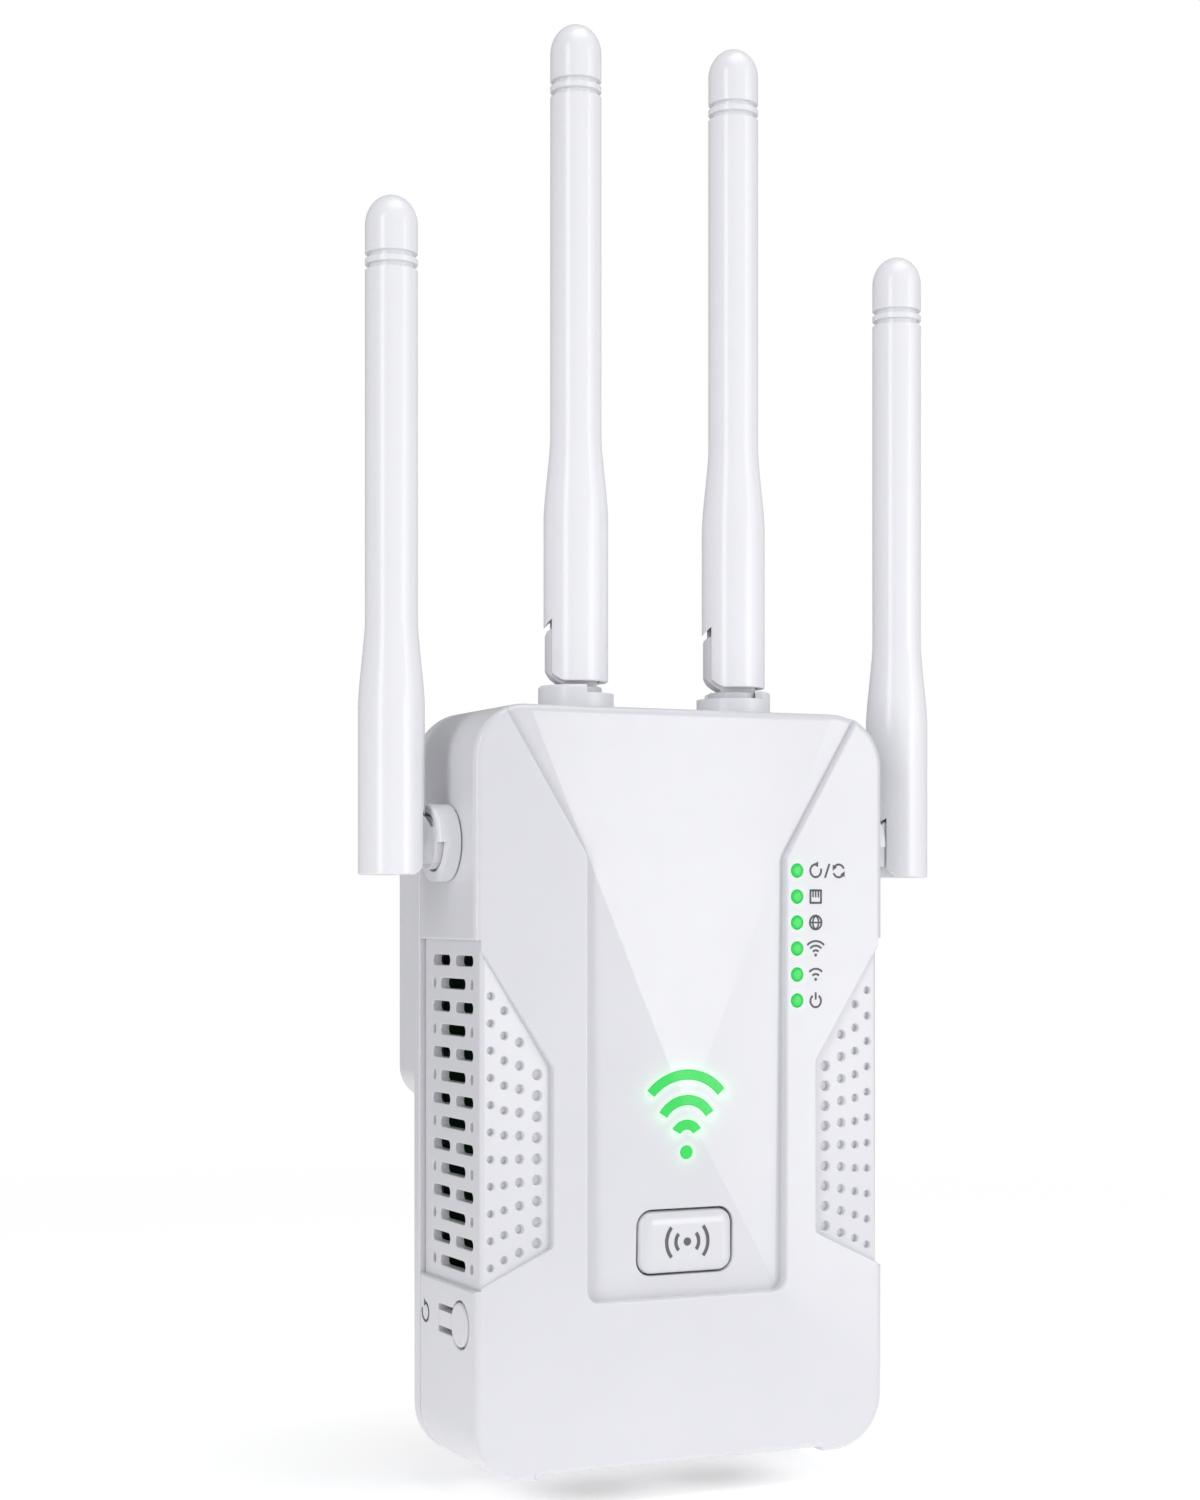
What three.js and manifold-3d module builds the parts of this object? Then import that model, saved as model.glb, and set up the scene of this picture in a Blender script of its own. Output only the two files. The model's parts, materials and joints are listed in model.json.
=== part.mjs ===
// Plug-in wifi range extender: a deep white body with four folding rod antennas,
// a faceted face with a recessed column, vented waist windows, two network jacks
// that open downwards, and a plug block with two flat blades behind.
// Millimetres, +Z up. The origin is the middle of the plug block's rear face,
// +Y points into the wall socket and the face looks along -Y.
import * as THREE from 'three';
import { mergeVertices } from 'three/addons/utils/BufferGeometryUtils.js';
import Module from 'manifold-3d';

const wasm = await Module();
wasm.setup();

// ---- driving dimensions ----
const bodyWidth = 57.4;
const bodyHeight = 95.3;
const bodyCorner = 7;
const frontEdge = 0.7; // rounding of the front rim
const crown = 10.6; // body top above the plug block
const wall = 2;
const floorWall = 1.8; // face thickness behind the column floor
const plugWidth = 51.8;
const plugHeight = 40;
const plugDepth = 13.3;
const plugCorner = 4.5;
const plugEdge = 0.8;
const plugRearWall = 2.2;
const coverThickness = 2;
const seat = 0.3; // gap between neighbouring pieces
const lensGap = 0.15; // gap round light guides, pins and push buttons

const columnHalf = 13.9;
const funnelHalf = 25.1;
const funnelHeight = 18.6;
const chinHeight = 21.4;
const apexRise = 23.2; // apex of the column's four facets above the column's foot
const draft = 0.35;
const ledgeSlope = 0.045;
const apexDepth = 0.5;
const funnelSlope = 0.012;
const columnFootDepth = 1.4;
const chinBreakRise = 7.6; // where the chin's facet meets the side edge, above the body foot
const chinFootDepth = 0.75;
const chinCornerDepth = 1.3;
const chinNotchHalf = 19.8;
const chinNotch = 0.6;

const windowDrop = 29; // window top below the body top
const windowRise = 23.7; // window foot above the body foot
const windowInset = 0.8;
const grilleInner = 18.5;
const grilleTopDrop = 15.7;
const grilleFootRise = 4.8;
const grilleInnerDepth = 1.15;
const grilleOuterDepth = 0.95;
const ventPitch = 2.9;
const ventHeight = 1.3;
const ventFirst = 2.6; // first row below the window top
const ventMid = 10.1; // middle of the vent field
const ventPairLength = 5.9;
const ventPairGap = 1.7;
const ventSingleLength = 8.4;

const antennaLength = 83.5;
const antennaBase = 4.1; // radius
const antennaTip = 3.25;
const baseLength = 21;
const taperLength = 10;
const domeHeight = 3.75;
const footGap = 0.5; // the rod's square end above its collar
const foldGap = 0.4; // a folded rod above its collar
const pinRadius = 0.8;
const pinCover = 0.65; // plastic left over each blind end of the pin
const slotWidth = 5.2;
const slotBackWall = 1.2; // rod left behind the hinge slot
const slotOver = 0.9; // the slot's round ceiling beyond the rod's radius
const tongueGap = 0.3;
const collarRadius = 4.8;
const collarTall = 3;
const collarStep = 1;
const neckRadius = 4.1;
const stemRadius = 2.3;
const discRadius = 3.3; // the elbow's disc inside the collar
const leadBore = 0.8;
const radiatorRadius = 0.9;
const topAntennaX = 11.3;
const antennaBehindFace = 9.5;
const sideAntennaDrop = 17; // side swivel axis below the body top
const topFoldTurn = 159; // degrees from +X of the top antennas' fold direction

const boardThickness = 1.6;
const boardClear = 1.2; // board edge to the side wall
const boardBack = 0.2; // main board's rear face in front of the cover's seat
const jackStandoff = 0.7; // jacks in front of the main board
const jackWidth = 16;
const jackThick = 13.2;
const jackLength = 21;
const jackApart = 1.2;
const jackInset = 1;
const plugInMouth = 11.9;
const buttonWidth = 13.5;
const buttonHeight = 8.3;
const buttonCorner = 2;
const buttonRise = 28.3; // button centre above the body foot
const signalRise = 39.5; // signal dot above the body foot
const signalDot = 0.75; // radius
const signalArcs = [[1.8, 2.2, 57], [2.75, 4.35, 57], [3.3, 7, 49]]; // lift, outer radius, half angle
const strokeWidth = 1.05;
const statusOffset = 1.7; // status lights outside the column
const statusDrop = 20.3; // first status light below the body top
const statusPitch = 3.33;
const statusCount = 6;
const statusRadius = 0.8;
const resetRadius = 2.75;
const resetBehindFace = 5.7;
const resetRise = 19; // reset disc above the body foot
const resetArmEnd = 13;
const resetArmWidth = 1.95;
const resetSlot = 0.75;
const screwSide = 5.1; // screw centres from the body's sides
const screwInset = 5.5; // screw centres from the body's top and foot
const screwRadius = 1.25;
const screwHead = 2.6; // radius
const screwReach = 9; // thread in the boss
const headRecess = 1.2; // head below the cover's rear
const headThick = 1;
const crossHalf = 1.3;
const crossThick = 0.3;
const bossRadius = 3;
const bladeWidth = 6.35;
const bladeThick = 1.5;
const bladePitch = 12.7;
const bladeReach = 17;
const bladeHole = 1.6; // radius
const bladeHoleInset = 4.5; // from the tip
const shoulder = 1.2; // blade's ears behind the plug face
const tongueHalf = 1.2; // blade's narrow end through the power board
const tongueReach = 4;
const powerBoardRear = 3.1; // power board's rear face in front of the plug face

// ---- places that follow ----
const faceThickness = columnFootDepth + floorWall;
const jackStack = seat + jackThick + jackStandoff;
const bodyDepth = faceThickness + jackStack + boardThickness + boardBack + seat + coverThickness;
const bodyDrop = bodyHeight / 2 - plugHeight / 2 - crown;
const slotBack = antennaBase - slotBackWall;
const slotReach = antennaBase + slotOver;
const pinHeight = collarTall + foldGap + antennaBase; // hinge pin above the body's surface
const pinAboveFoot = pinHeight - collarTall - footGap; // hinge pin above the rod's square end
const footSweep = pinHeight - collarTall - 0.2; // the rod's foot is rounded to this about the pin
const jackPitch = jackWidth + jackApart;
const frontY = -(bodyDepth + plugDepth);
const rearY = -plugDepth;
const bodyTop = bodyHeight / 2 - bodyDrop;
const bodyFoot = -bodyHeight / 2 - bodyDrop;
const halfWidth = bodyWidth / 2;
const columnTop = bodyTop - funnelHeight;
const columnFoot = bodyFoot + chinHeight;
const apexZ = columnFoot + apexRise;
const windowTop = bodyTop - windowDrop;
const windowFoot = bodyFoot + windowRise;
const shellRear = rearY - coverThickness - seat;
const cavityY = frontY + faceThickness;
const boardRear = shellRear - boardBack;
const boardFront = boardRear - boardThickness;
const antennaY = frontY + antennaBehindFace;
const sideAntennaZ = bodyTop - sideAntennaDrop;
const buttonZ = bodyFoot + buttonRise;
const signalZ = bodyFoot + signalRise;
const statusX = columnHalf + statusOffset;
const statusZ = bodyTop - statusDrop;
const screwX = halfWidth - screwSide;
const resetY = frontY + resetBehindFace;
const resetZ = bodyFoot + resetRise;
const jackY = cavityY + seat + jackThick / 2;
const jackFoot = bodyFoot + jackInset;
const bladeHalf = bladeThick / 2;
const stemEnd = wall + seat + 1 + seat + 1.8; // the elbow's lower end inside the body

// ---- materials ----
function plain(color, roughness, metalness = 0) {
  return new THREE.MeshStandardMaterial({ color, roughness, metalness });
}
const whiteShell = plain(0xf2f2f6, 0.35);
const whiteRod = plain(0xf0f0f5, 0.4);
const greyCollar = plain(0xd9d9de, 0.45);
const litGuide = plain(0x3ee46a, 0.3);
const boardGreen = plain(0x1f6b3a, 0.5);
const chipBlack = plain(0x1b1b1e, 0.5);
const tinPlate = plain(0xc9cacc, 0.3, 0.9);
const brass = plain(0xc8a250, 0.3, 0.9);
const screwSteel = plain(0x8f9194, 0.35, 0.9);
const leadGrey = plain(0x3a3a3e, 0.5);
const coilYellow = plain(0xd8b23a, 0.5);

// ---- solids ----
function toSolid(geometry) {
  const bare = geometry.index ? geometry.toNonIndexed() : geometry.clone();
  bare.deleteAttribute('normal');
  bare.deleteAttribute('uv');
  const merged = mergeVertices(bare, 1e-4);
  return new wasm.Manifold(new wasm.Mesh({
    numProp: 3,
    vertProperties: new Float32Array(merged.attributes.position.array),
    triVerts: new Uint32Array(merged.index.array),
  }));
}

function toMesh(name, solid, material) {
  const made = solid.getMesh();
  const geometry = new THREE.BufferGeometry();
  geometry.setAttribute('position', new THREE.BufferAttribute(new Float32Array(made.vertProperties), 3));
  geometry.setIndex(new THREE.BufferAttribute(new Uint32Array(made.triVerts), 1));
  geometry.computeVertexNormals();
  const mesh = new THREE.Mesh(geometry, material);
  mesh.name = name;
  return mesh;
}

function box(xLow, xHigh, yLow, yHigh, zLow, zHigh) {
  const geometry = new THREE.BoxGeometry(xHigh - xLow, yHigh - yLow, zHigh - zLow);
  geometry.translate((xLow + xHigh) / 2, (yLow + yHigh) / 2, (zLow + zHigh) / 2);
  return toSolid(geometry);
}

// a cylinder between two points
function rod(from, to, radius, sides = 16) {
  const start = new THREE.Vector3(...from);
  const axis = new THREE.Vector3(...to).sub(start);
  const geometry = new THREE.CylinderGeometry(radius, radius, axis.length(), sides);
  const upright = new THREE.Vector3(0, 1, 0);
  const turn = new THREE.Quaternion().setFromUnitVectors(upright, axis.clone().normalize());
  geometry.applyQuaternion(turn);
  geometry.translate(...start.addScaledVector(axis, 0.5).toArray());
  return toSolid(geometry);
}

// a body of revolution about +Z from (radius, height) points that start and end on the axis
function turned(profile, sides = 18) {
  const points = profile.map(([radius, height]) => new THREE.Vector2(radius, height));
  const geometry = new THREE.LatheGeometry(points, sides);
  geometry.rotateX(Math.PI / 2);
  return toSolid(geometry);
}

// an outline in X and Z carried along Y from yLow to yHigh
function slab(shape, yLow, yHigh, curveSegments = 6) {
  const options = { depth: yHigh - yLow, bevelEnabled: false, curveSegments };
  const geometry = new THREE.ExtrudeGeometry(shape, options);
  geometry.rotateX(Math.PI / 2);
  geometry.translate(0, yHigh, 0);
  return toSolid(geometry);
}

function outline(points) {
  return new THREE.Shape(points.map(([x, z]) => new THREE.Vector2(x, z)));
}

function roundedPoints(width, height, radius, centreZ, steps = 5) {
  const points = [];
  for (let corner = 0; corner < 4; corner += 1) {
    const sideX = corner === 0 || corner === 3 ? 1 : -1;
    const sideZ = corner < 2 ? 1 : -1;
    for (let step = 0; step <= steps; step += 1) {
      const angle = (corner + step / steps) * Math.PI / 2;
      points.push([
        sideX * (width / 2 - radius) + radius * Math.cos(angle),
        centreZ + sideZ * (height / 2 - radius) + radius * Math.sin(angle),
      ]);
    }
  }
  return points;
}

function roundedShape(width, height, radius, centreX, centreZ, steps = 3) {
  const points = roundedPoints(width, height, radius, centreZ, steps);
  return outline(points.map(([x, z]) => [x + centreX, z]));
}

// a closed solid through rings of equal length, each ring a list of [x, z] at one y, front first
function loft(rings) {
  const count = rings[0].points.length;
  const positions = [];
  const place = (ring, index) => {
    const [x, z] = rings[ring].points[index % count];
    positions.push(x, rings[ring].y, z);
  };
  for (let ring = 0; ring + 1 < rings.length; ring += 1) {
    for (let index = 0; index < count; index += 1) {
      place(ring, index);
      place(ring, index + 1);
      place(ring + 1, index + 1);
      place(ring, index);
      place(ring + 1, index + 1);
      place(ring + 1, index);
    }
  }
  const rim = rings[0].points.map(([x, z]) => new THREE.Vector2(x, z));
  const cap = THREE.ShapeUtils.triangulateShape(rim, []);
  for (const [a, b, c] of cap) {
    [c, b, a].forEach((index) => place(0, index));
    [a, b, c].forEach((index) => place(rings.length - 1, index));
  }
  const geometry = new THREE.BufferGeometry();
  geometry.setAttribute('position', new THREE.BufferAttribute(new Float32Array(positions), 3));
  const solid = toSolid(geometry);
  return solid.volume() > 0 ? solid : toSolid(flipped(geometry));
}

function flipped(geometry) {
  const position = geometry.attributes.position;
  const values = [];
  for (let index = 0; index < position.count; index += 3) {
    for (const corner of [index, index + 2, index + 1]) {
      values.push(position.getX(corner), position.getY(corner), position.getZ(corner));
    }
  }
  const result = new THREE.BufferGeometry();
  result.setAttribute('position', new THREE.BufferAttribute(new Float32Array(values), 3));
  return result;
}

// a prism whose front face is flat at yFront and whose rear corners lie at their own depths
function reliefCutter(corners, triangles, yFront) {
  const positions = [];
  const edges = new Map();
  for (const triangle of triangles) {
    for (const index of triangle) {
      positions.push(corners[index][0], yFront, corners[index][1]);
    }
    for (const index of [...triangle].reverse()) {
      positions.push(corners[index][0], frontY + corners[index][2], corners[index][1]);
    }
    for (let side = 0; side < 3; side += 1) {
      const [a, b] = [triangle[side], triangle[(side + 1) % 3]];
      if (!edges.delete(`${b},${a}`)) {
        edges.set(`${a},${b}`, [a, b]);
      }
    }
  }
  for (const [a, b] of edges.values()) {
    const [ax, az, ad] = corners[a];
    const [bx, bz, bd] = corners[b];
    positions.push(bx, yFront, bz, ax, yFront, az, ax, frontY + ad, az);
    positions.push(bx, yFront, bz, ax, frontY + ad, az, bx, frontY + bd, bz);
  }
  const geometry = new THREE.BufferGeometry();
  geometry.setAttribute('position', new THREE.BufferAttribute(new Float32Array(positions), 3));
  const solid = toSolid(geometry);
  return solid.volume() > 0 ? solid : toSolid(flipped(geometry));
}

// a tube that follows points on a smooth curve
function lead(name, points, radius) {
  const route = points.map((point) => new THREE.Vector3(...point));
  const path = new THREE.CatmullRomCurve3(route, false, 'centripetal');
  const section = new THREE.Shape();
  section.absarc(0, 0, radius, 0, 2 * Math.PI);
  const geometry = new THREE.ExtrudeGeometry(section, { steps: 8, curveSegments: 3, extrudePath: path });
  return toMesh(name, toSolid(geometry), leadGrey);
}

// ---- the moulded face ----
function faceRelief() {
  const over = 3;
  const ledge = (x) => ledgeSlope * (x - columnHalf);
  const floorAt = (z) => apexDepth + funnelSlope * (z - apexZ);
  const edgeX = halfWidth + over;
  const topZ = bodyTop + over;
  const footZ = bodyFoot - over;
  const mouth = columnHalf + (funnelHalf - columnHalf) * ((topZ - columnTop) / funnelHeight);
  const chinX = columnHalf + (chinNotchHalf - columnHalf) * ((columnFoot - footZ) / chinHeight);
  const half = (side) => [
    [side * mouth, topZ, ledge(mouth)],
    [side * columnHalf, columnTop, 0],
    [side * columnHalf, columnFoot, 0],
    [side * edgeX, topZ, ledge(edgeX)],
    [side * edgeX, bodyFoot + chinBreakRise, ledge(edgeX)],
    [side * chinX, footZ, chinFootDepth],
    [side * edgeX, footZ, chinCornerDepth],
    [side * (mouth - draft), topZ, floorAt(topZ)],
    [side * (columnHalf - draft), columnTop - draft, floorAt(columnTop)],
    [side * (columnHalf - draft), columnFoot + draft, columnFootDepth],
  ];
  const corners = [...half(-1), ...half(1), [0, apexZ, apexDepth]];
  const apex = 20;
  const left = [
    [0, 3, 1], [1, 3, 4], [1, 4, 2], [2, 4, 5], [4, 6, 5],
    [0, 1, 8], [0, 8, 7], [1, 2, 9], [1, 9, 8], [8, 9, apex],
  ];
  const mirrored = (index) => (index === apex ? apex : index + 10);
  const right = left.map((triangle) => triangle.map(mirrored));
  const middle = [
    [7, 8, 17], [8, 18, 17], [8, apex, 18], [9, 19, apex],
    [2, 12, 19], [2, 19, 9], [2, 5, 15], [2, 15, 12],
  ];
  const facing = (triangle) => {
    const [a, b, c] = triangle.map((index) => corners[index]);
    const cross = (b[0] - a[0]) * (c[1] - a[1]) - (b[1] - a[1]) * (c[0] - a[0]);
    return cross > 0 ? triangle : [...triangle].reverse();
  };
  return reliefCutter(corners, [...left, ...right, ...middle].map(facing), frontY - over);
}

// the tilted grille panel of one waist window, seen from the front
function grillePocket(side) {
  const outer = halfWidth + 1;
  const inset = (outer - grilleInner) / (halfWidth - grilleInner);
  const corners = [
    [side * outer, windowTop + grilleTopDrop * (inset - 1), grilleOuterDepth],
    [side * grilleInner, windowTop - grilleTopDrop, grilleInnerDepth],
    [side * grilleInner, windowFoot + grilleFootRise, grilleInnerDepth],
    [side * outer, windowFoot - grilleFootRise * (inset - 1), grilleOuterDepth],
  ];
  const triangles = side > 0 ? [[0, 1, 2], [0, 2, 3]] : [[2, 1, 0], [3, 2, 0]];
  return reliefCutter(corners, triangles, frontY - 3);
}

function ventSlots(side) {
  const rows = Math.floor((windowTop - windowFoot - ventFirst) / ventPitch);
  const cuts = [];
  const xLow = side > 0 ? halfWidth - wall - 1 : -halfWidth - 1;
  for (let row = 0; row < rows; row += 1) {
    const z = windowTop - ventFirst - row * ventPitch;
    const spans = [];
    if (row % 2 === 0) {
      const offset = (ventPairLength + ventPairGap) / 2;
      spans.push([ventMid - offset, ventPairLength], [ventMid + offset, ventPairLength]);
    } else {
      spans.push([ventMid, ventSingleLength]);
    }
    for (const [middle, length] of spans) {
      const points = roundedPoints(length, ventHeight, ventHeight / 2 - 0.01, z, 1);
      const shape = outline(points.map(([y, height]) => [frontY + middle + y, height]));
      const geometry = new THREE.ExtrudeGeometry(shape, { depth: wall + 2, bevelEnabled: false });
      geometry.applyMatrix4(new THREE.Matrix4().makeBasis(
        new THREE.Vector3(0, 1, 0), new THREE.Vector3(0, 0, 1), new THREE.Vector3(1, 0, 0),
      ));
      geometry.translate(xLow, 0, 0);
      cuts.push(toSolid(geometry));
    }
  }
  return cuts;
}

// the signal mark's dot and three arcs, grown by a margin
function signalStrokes(margin) {
  const dot = new THREE.Shape();
  dot.absarc(0, signalZ, signalDot + margin, 0, 2 * Math.PI);
  return [dot, ...signalArcs.map(([lift, outer, halfAngle]) => arcStroke(lift, outer, halfAngle, margin))];
}

function arcStroke(lift, outer, halfAngle, margin) {
  const inner = outer - strokeWidth;
  const centre = signalZ + lift;
  const spread = halfAngle * Math.PI / 180 + margin / outer;
  const shape = new THREE.Shape();
  shape.absarc(0, centre, outer + margin, Math.PI / 2 - spread, Math.PI / 2 + spread);
  shape.absarc(0, centre, inner - margin, Math.PI / 2 + spread, Math.PI / 2 - spread, true);
  shape.closePath();
  return shape;
}

function resetOpening() {
  const outside = -halfWidth - 1;
  const inside = -halfWidth + wall + 1;
  const slotHalf = resetArmWidth / 2 + resetSlot;
  const disc = rod([outside, resetY, resetZ], [inside, resetY, resetZ], resetRadius + lensGap);
  return disc.add(box(outside, inside, resetY, frontY + resetArmEnd, resetZ - slotHalf, resetZ + slotHalf));
}

function frontShell() {
  const middle = -bodyDrop;
  const ring = (inset, y) => ({
    y,
    points: roundedPoints(bodyWidth - 2 * inset, bodyHeight - 2 * inset, bodyCorner - inset, middle),
  });
  let shell = loft([
    ring(frontEdge, frontY),
    ring(frontEdge * 0.3, frontY + frontEdge * 0.3),
    ring(0, frontY + frontEdge),
    ring(0, shellRear),
  ]);
  const cavity = slab(
    roundedShape(bodyWidth - 2 * wall, bodyHeight - 2 * wall, bodyCorner - wall, 0, middle, 4),
    cavityY, shellRear + 1,
  );
  shell = shell.subtract(faceRelief()).subtract(cavity);
  for (const side of [-1, 1]) {
    shell = shell.subtract(grillePocket(side));
    const low = side > 0 ? halfWidth - windowInset : -halfWidth - 1;
    const high = side > 0 ? halfWidth + 1 : -halfWidth + windowInset;
    shell = shell.subtract(box(low, high, frontY - 1, shellRear + 1, windowFoot, windowTop));
    for (const cut of ventSlots(side)) {
      shell = shell.subtract(cut);
    }
    for (const z of [bodyTop - screwInset, bodyFoot + screwInset]) {
      const x = side * screwX;
      shell = shell.add(rod([x, cavityY - 0.5, z], [x, shellRear, z], bossRadius, 16));
      const pilot = rod([x, shellRear - screwReach, z], [x, shellRear + 1, z], screwRadius + 0.1, 12);
      shell = shell.subtract(pilot);
    }
    const topX = side * topAntennaX;
    const inX = side * (halfWidth - wall - 1);
    const outX = side * (halfWidth + 1);
    const neckHole = neckRadius + seat;
    const topHole = rod([topX, antennaY, bodyTop - wall - 1], [topX, antennaY, bodyTop + 1], neckHole);
    const sideHole = rod([inX, antennaY, sideAntennaZ], [outX, antennaY, sideAntennaZ], neckHole);
    shell = shell.subtract(topHole).subtract(sideHole);
    const jackX = side * jackPitch / 2;
    const holeX = jackWidth / 2 + seat;
    const holeY = jackThick / 2 + seat;
    shell = shell.subtract(box(
      jackX - holeX, jackX + holeX, jackY - holeY, jackY + holeY, bodyFoot - 1, bodyFoot + wall + 1,
    ));
  }
  shell = shell.subtract(box(
    -chinNotchHalf, chinNotchHalf, frontY - 1, shellRear - wall, bodyFoot - 1, bodyFoot + chinNotch,
  ));
  shell = shell.subtract(slab(
    roundedShape(buttonWidth, buttonHeight, buttonCorner, 0, buttonZ), frontY - 2, cavityY + 1,
  ));
  for (const shape of signalStrokes(lensGap)) {
    shell = shell.subtract(slab(shape, frontY - 2, cavityY + 1, 4));
  }
  for (let index = 0; index < statusCount; index += 1) {
    const z = statusZ - index * statusPitch;
    const hole = rod([statusX, frontY - 2, z], [statusX, cavityY + 1, z], statusRadius + lensGap, 10);
    shell = shell.subtract(hole);
  }
  shell = shell.subtract(resetOpening());
  return toMesh('front_shell', shell, whiteShell);
}

// ---- the rear cover with its plug block ----
function rearCover() {
  const middle = -bodyDrop;
  const plateFront = rearY - coverThickness;
  let cover = slab(roundedShape(bodyWidth, bodyHeight, bodyCorner, 0, middle, 5), plateFront, rearY);
  const ring = (inset, y) => ({
    y,
    points: roundedPoints(plugWidth - 2 * inset, plugHeight - 2 * inset, plugCorner - inset, 0, 4),
  });
  cover = cover.add(loft([
    ring(0, plateFront + 0.5),
    ring(0, -plugEdge),
    ring(plugEdge * 0.3, -plugEdge * 0.3),
    ring(plugEdge, 0),
  ]));
  const hollow = roundedShape(plugWidth - 2 * wall, plugHeight - 2 * wall, plugCorner - wall, 0, 0);
  cover = cover.subtract(slab(hollow, plateFront - 1, -plugRearWall));
  for (const side of [-1, 1]) {
    for (const z of [bodyTop - screwInset, bodyFoot + screwInset]) {
      const x = side * screwX;
      cover = cover.subtract(rod([x, plateFront - 1, z], [x, rearY + 1, z], screwRadius + seat, 16));
      cover = cover.subtract(rod([x, rearY - headRecess, z], [x, rearY + 1, z], screwHead + seat, 16));
    }
    const bladeX = side * bladePitch / 2;
    const slotX = bladeHalf + lensGap;
    const slotZ = bladeWidth / 2 + lensGap;
    cover = cover.subtract(box(bladeX - slotX, bladeX + slotX, -plugRearWall - 1, 1, -slotZ, slotZ));
  }
  return toMesh('rear_cover', cover, whiteShell);
}

function coverScrew(name, x, z) {
  const under = rearY - headRecess + seat;
  const socket = under + headThick / 2;
  const shank = rod([x, under - screwReach, z], [x, socket, z], screwRadius - lensGap, 12);
  const head = rod([x, under, z], [x, under + headThick, z], screwHead, 16);
  const cross = box(x - crossHalf, x + crossHalf, socket, socket + 2, z - crossThick, z + crossThick)
    .add(box(x - crossThick, x + crossThick, socket, socket + 2, z - crossHalf, z + crossHalf));
  return toMesh(name, shank.add(head).subtract(cross), screwSteel);
}

function plugBlade(name, x) {
  const inner = -plugRearWall - seat;
  const half = bladeWidth / 2;
  const thin = bladeHalf / 2;
  const pad = box(x - bladeHalf, x + bladeHalf, inner - 0.5, bladeReach, -half, half);
  const tipShape = outline([
    [x - bladeHalf - 1, bladeReach + 1], [x - bladeHalf - 1, bladeReach - 2],
    [x - bladeHalf, bladeReach - 2], [x - thin, bladeReach + 1],
  ]);
  const tip = slab(tipShape, -bladeWidth, bladeWidth).rotate([-90, 0, 0]);
  const tongue = box(x - thin, x + thin, inner - tongueReach, inner, -tongueHalf, tongueHalf);
  const ears = box(x - bladeHalf, x + bladeHalf, inner - 0.5, inner, -half - shoulder, half + shoulder);
  const holeY = bladeReach - bladeHoleInset;
  const hole = rod([x - bladeThick, holeY, 0], [x + bladeThick, holeY, 0], bladeHole, 16);
  return toMesh(name, pad.add(tongue).add(ears).subtract(tip).subtract(hole), brass);
}

// ---- lights, button and reset ----
const guidePlate = 1.2;
const ledThick = 0.8;
const ledTop = boardFront - 0.1 - ledThick;

function signalLightGuide() {
  const plateFront = cavityY + lensGap;
  let guide = box(-6.5, 6.5, plateFront, plateFront + guidePlate, signalZ - 2, signalZ + 11.5);
  for (const shape of signalStrokes(0)) {
    guide = guide.add(slab(shape, frontY + apexDepth + 0.25, plateFront + 0.5, 4));
  }
  guide = guide.add(rod([0, plateFront + 0.5, signalZ + 5], [0, ledTop - 0.7, signalZ + 5], 2, 12));
  return toMesh('signal_light_guide', guide, litGuide);
}

function statusLightGuide() {
  const plateFront = cavityY + lensGap;
  const span = statusPitch * (statusCount - 1);
  const low = statusZ - span - 1.6;
  let guide = box(statusX - 1.4, statusX + 1.4, plateFront, plateFront + guidePlate, low, statusZ + 1.6);
  for (let index = 0; index < statusCount; index += 1) {
    const z = statusZ - index * statusPitch;
    guide = guide.add(rod([statusX, frontY + 0.15, z], [statusX, ledTop - 0.4, z], statusRadius, 10));
  }
  return toMesh('status_light_guide', guide, litGuide);
}

function statusLed(index) {
  const z = statusZ - index * statusPitch;
  const body = box(statusX - 0.8, statusX + 0.8, ledTop, ledTop + ledThick, z - 0.5, z + 0.5);
  return toMesh(`status_led_${index + 1}`, body, plain(0xfaf3c8, 0.4));
}

const switchSize = 6.2;
const switchTall = 4;
const plungerTall = 1.5;
const buttonSink = 0.5; // cap below the body's front plane
const capFlange = 0.8; // cap's rim inside the face

function pairButton() {
  const ring = (inset, y) => ({
    y,
    points: roundedPoints(
      buttonWidth - 2 * (lensGap + inset), buttonHeight - 2 * (lensGap + inset),
      buttonCorner - lensGap - inset, buttonZ, 3,
    ),
  });
  const face = frontY + buttonSink;
  const rim = cavityY + 0.6;
  const over = 2 * capFlange;
  const flange = roundedShape(buttonWidth + over, buttonHeight + over, buttonCorner, 0, buttonZ);
  const stemRear = boardFront - switchTall - plungerTall - 0.25;
  const cap = loft([ring(1, face), ring(0.3, face + 0.3), ring(0, face + 0.9), ring(0, rim + 0.8)]);
  const stem = rod([0, rim + 0.4, buttonZ], [0, stemRear, buttonZ], 2, 12);
  const button = cap.add(slab(flange, rim, rim + 1)).add(stem);
  return toMesh('pair_button', button, whiteShell);
}

function pairSwitch() {
  const half = switchSize / 2;
  const housing = box(-half, half, boardFront - switchTall, boardFront - 0.1, buttonZ - half, buttonZ + half);
  const well = rod([0, boardFront - switchTall - 1, buttonZ], [0, boardFront - 1.2, buttonZ], 1.6, 12);
  return toMesh('pair_switch', housing.subtract(well), chipBlack);
}

function pairPlunger() {
  const front = boardFront - switchTall - plungerTall;
  const solid = rod([0, front, buttonZ], [0, boardFront - 2.2, buttonZ], 1.3, 12);
  return toMesh('pair_switch_plunger', solid, plain(0xe8e8e8, 0.5));
}

const resetPlungerX = -halfWidth + wall + 1.5;
const resetPlungerRadius = 0.9;

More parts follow.
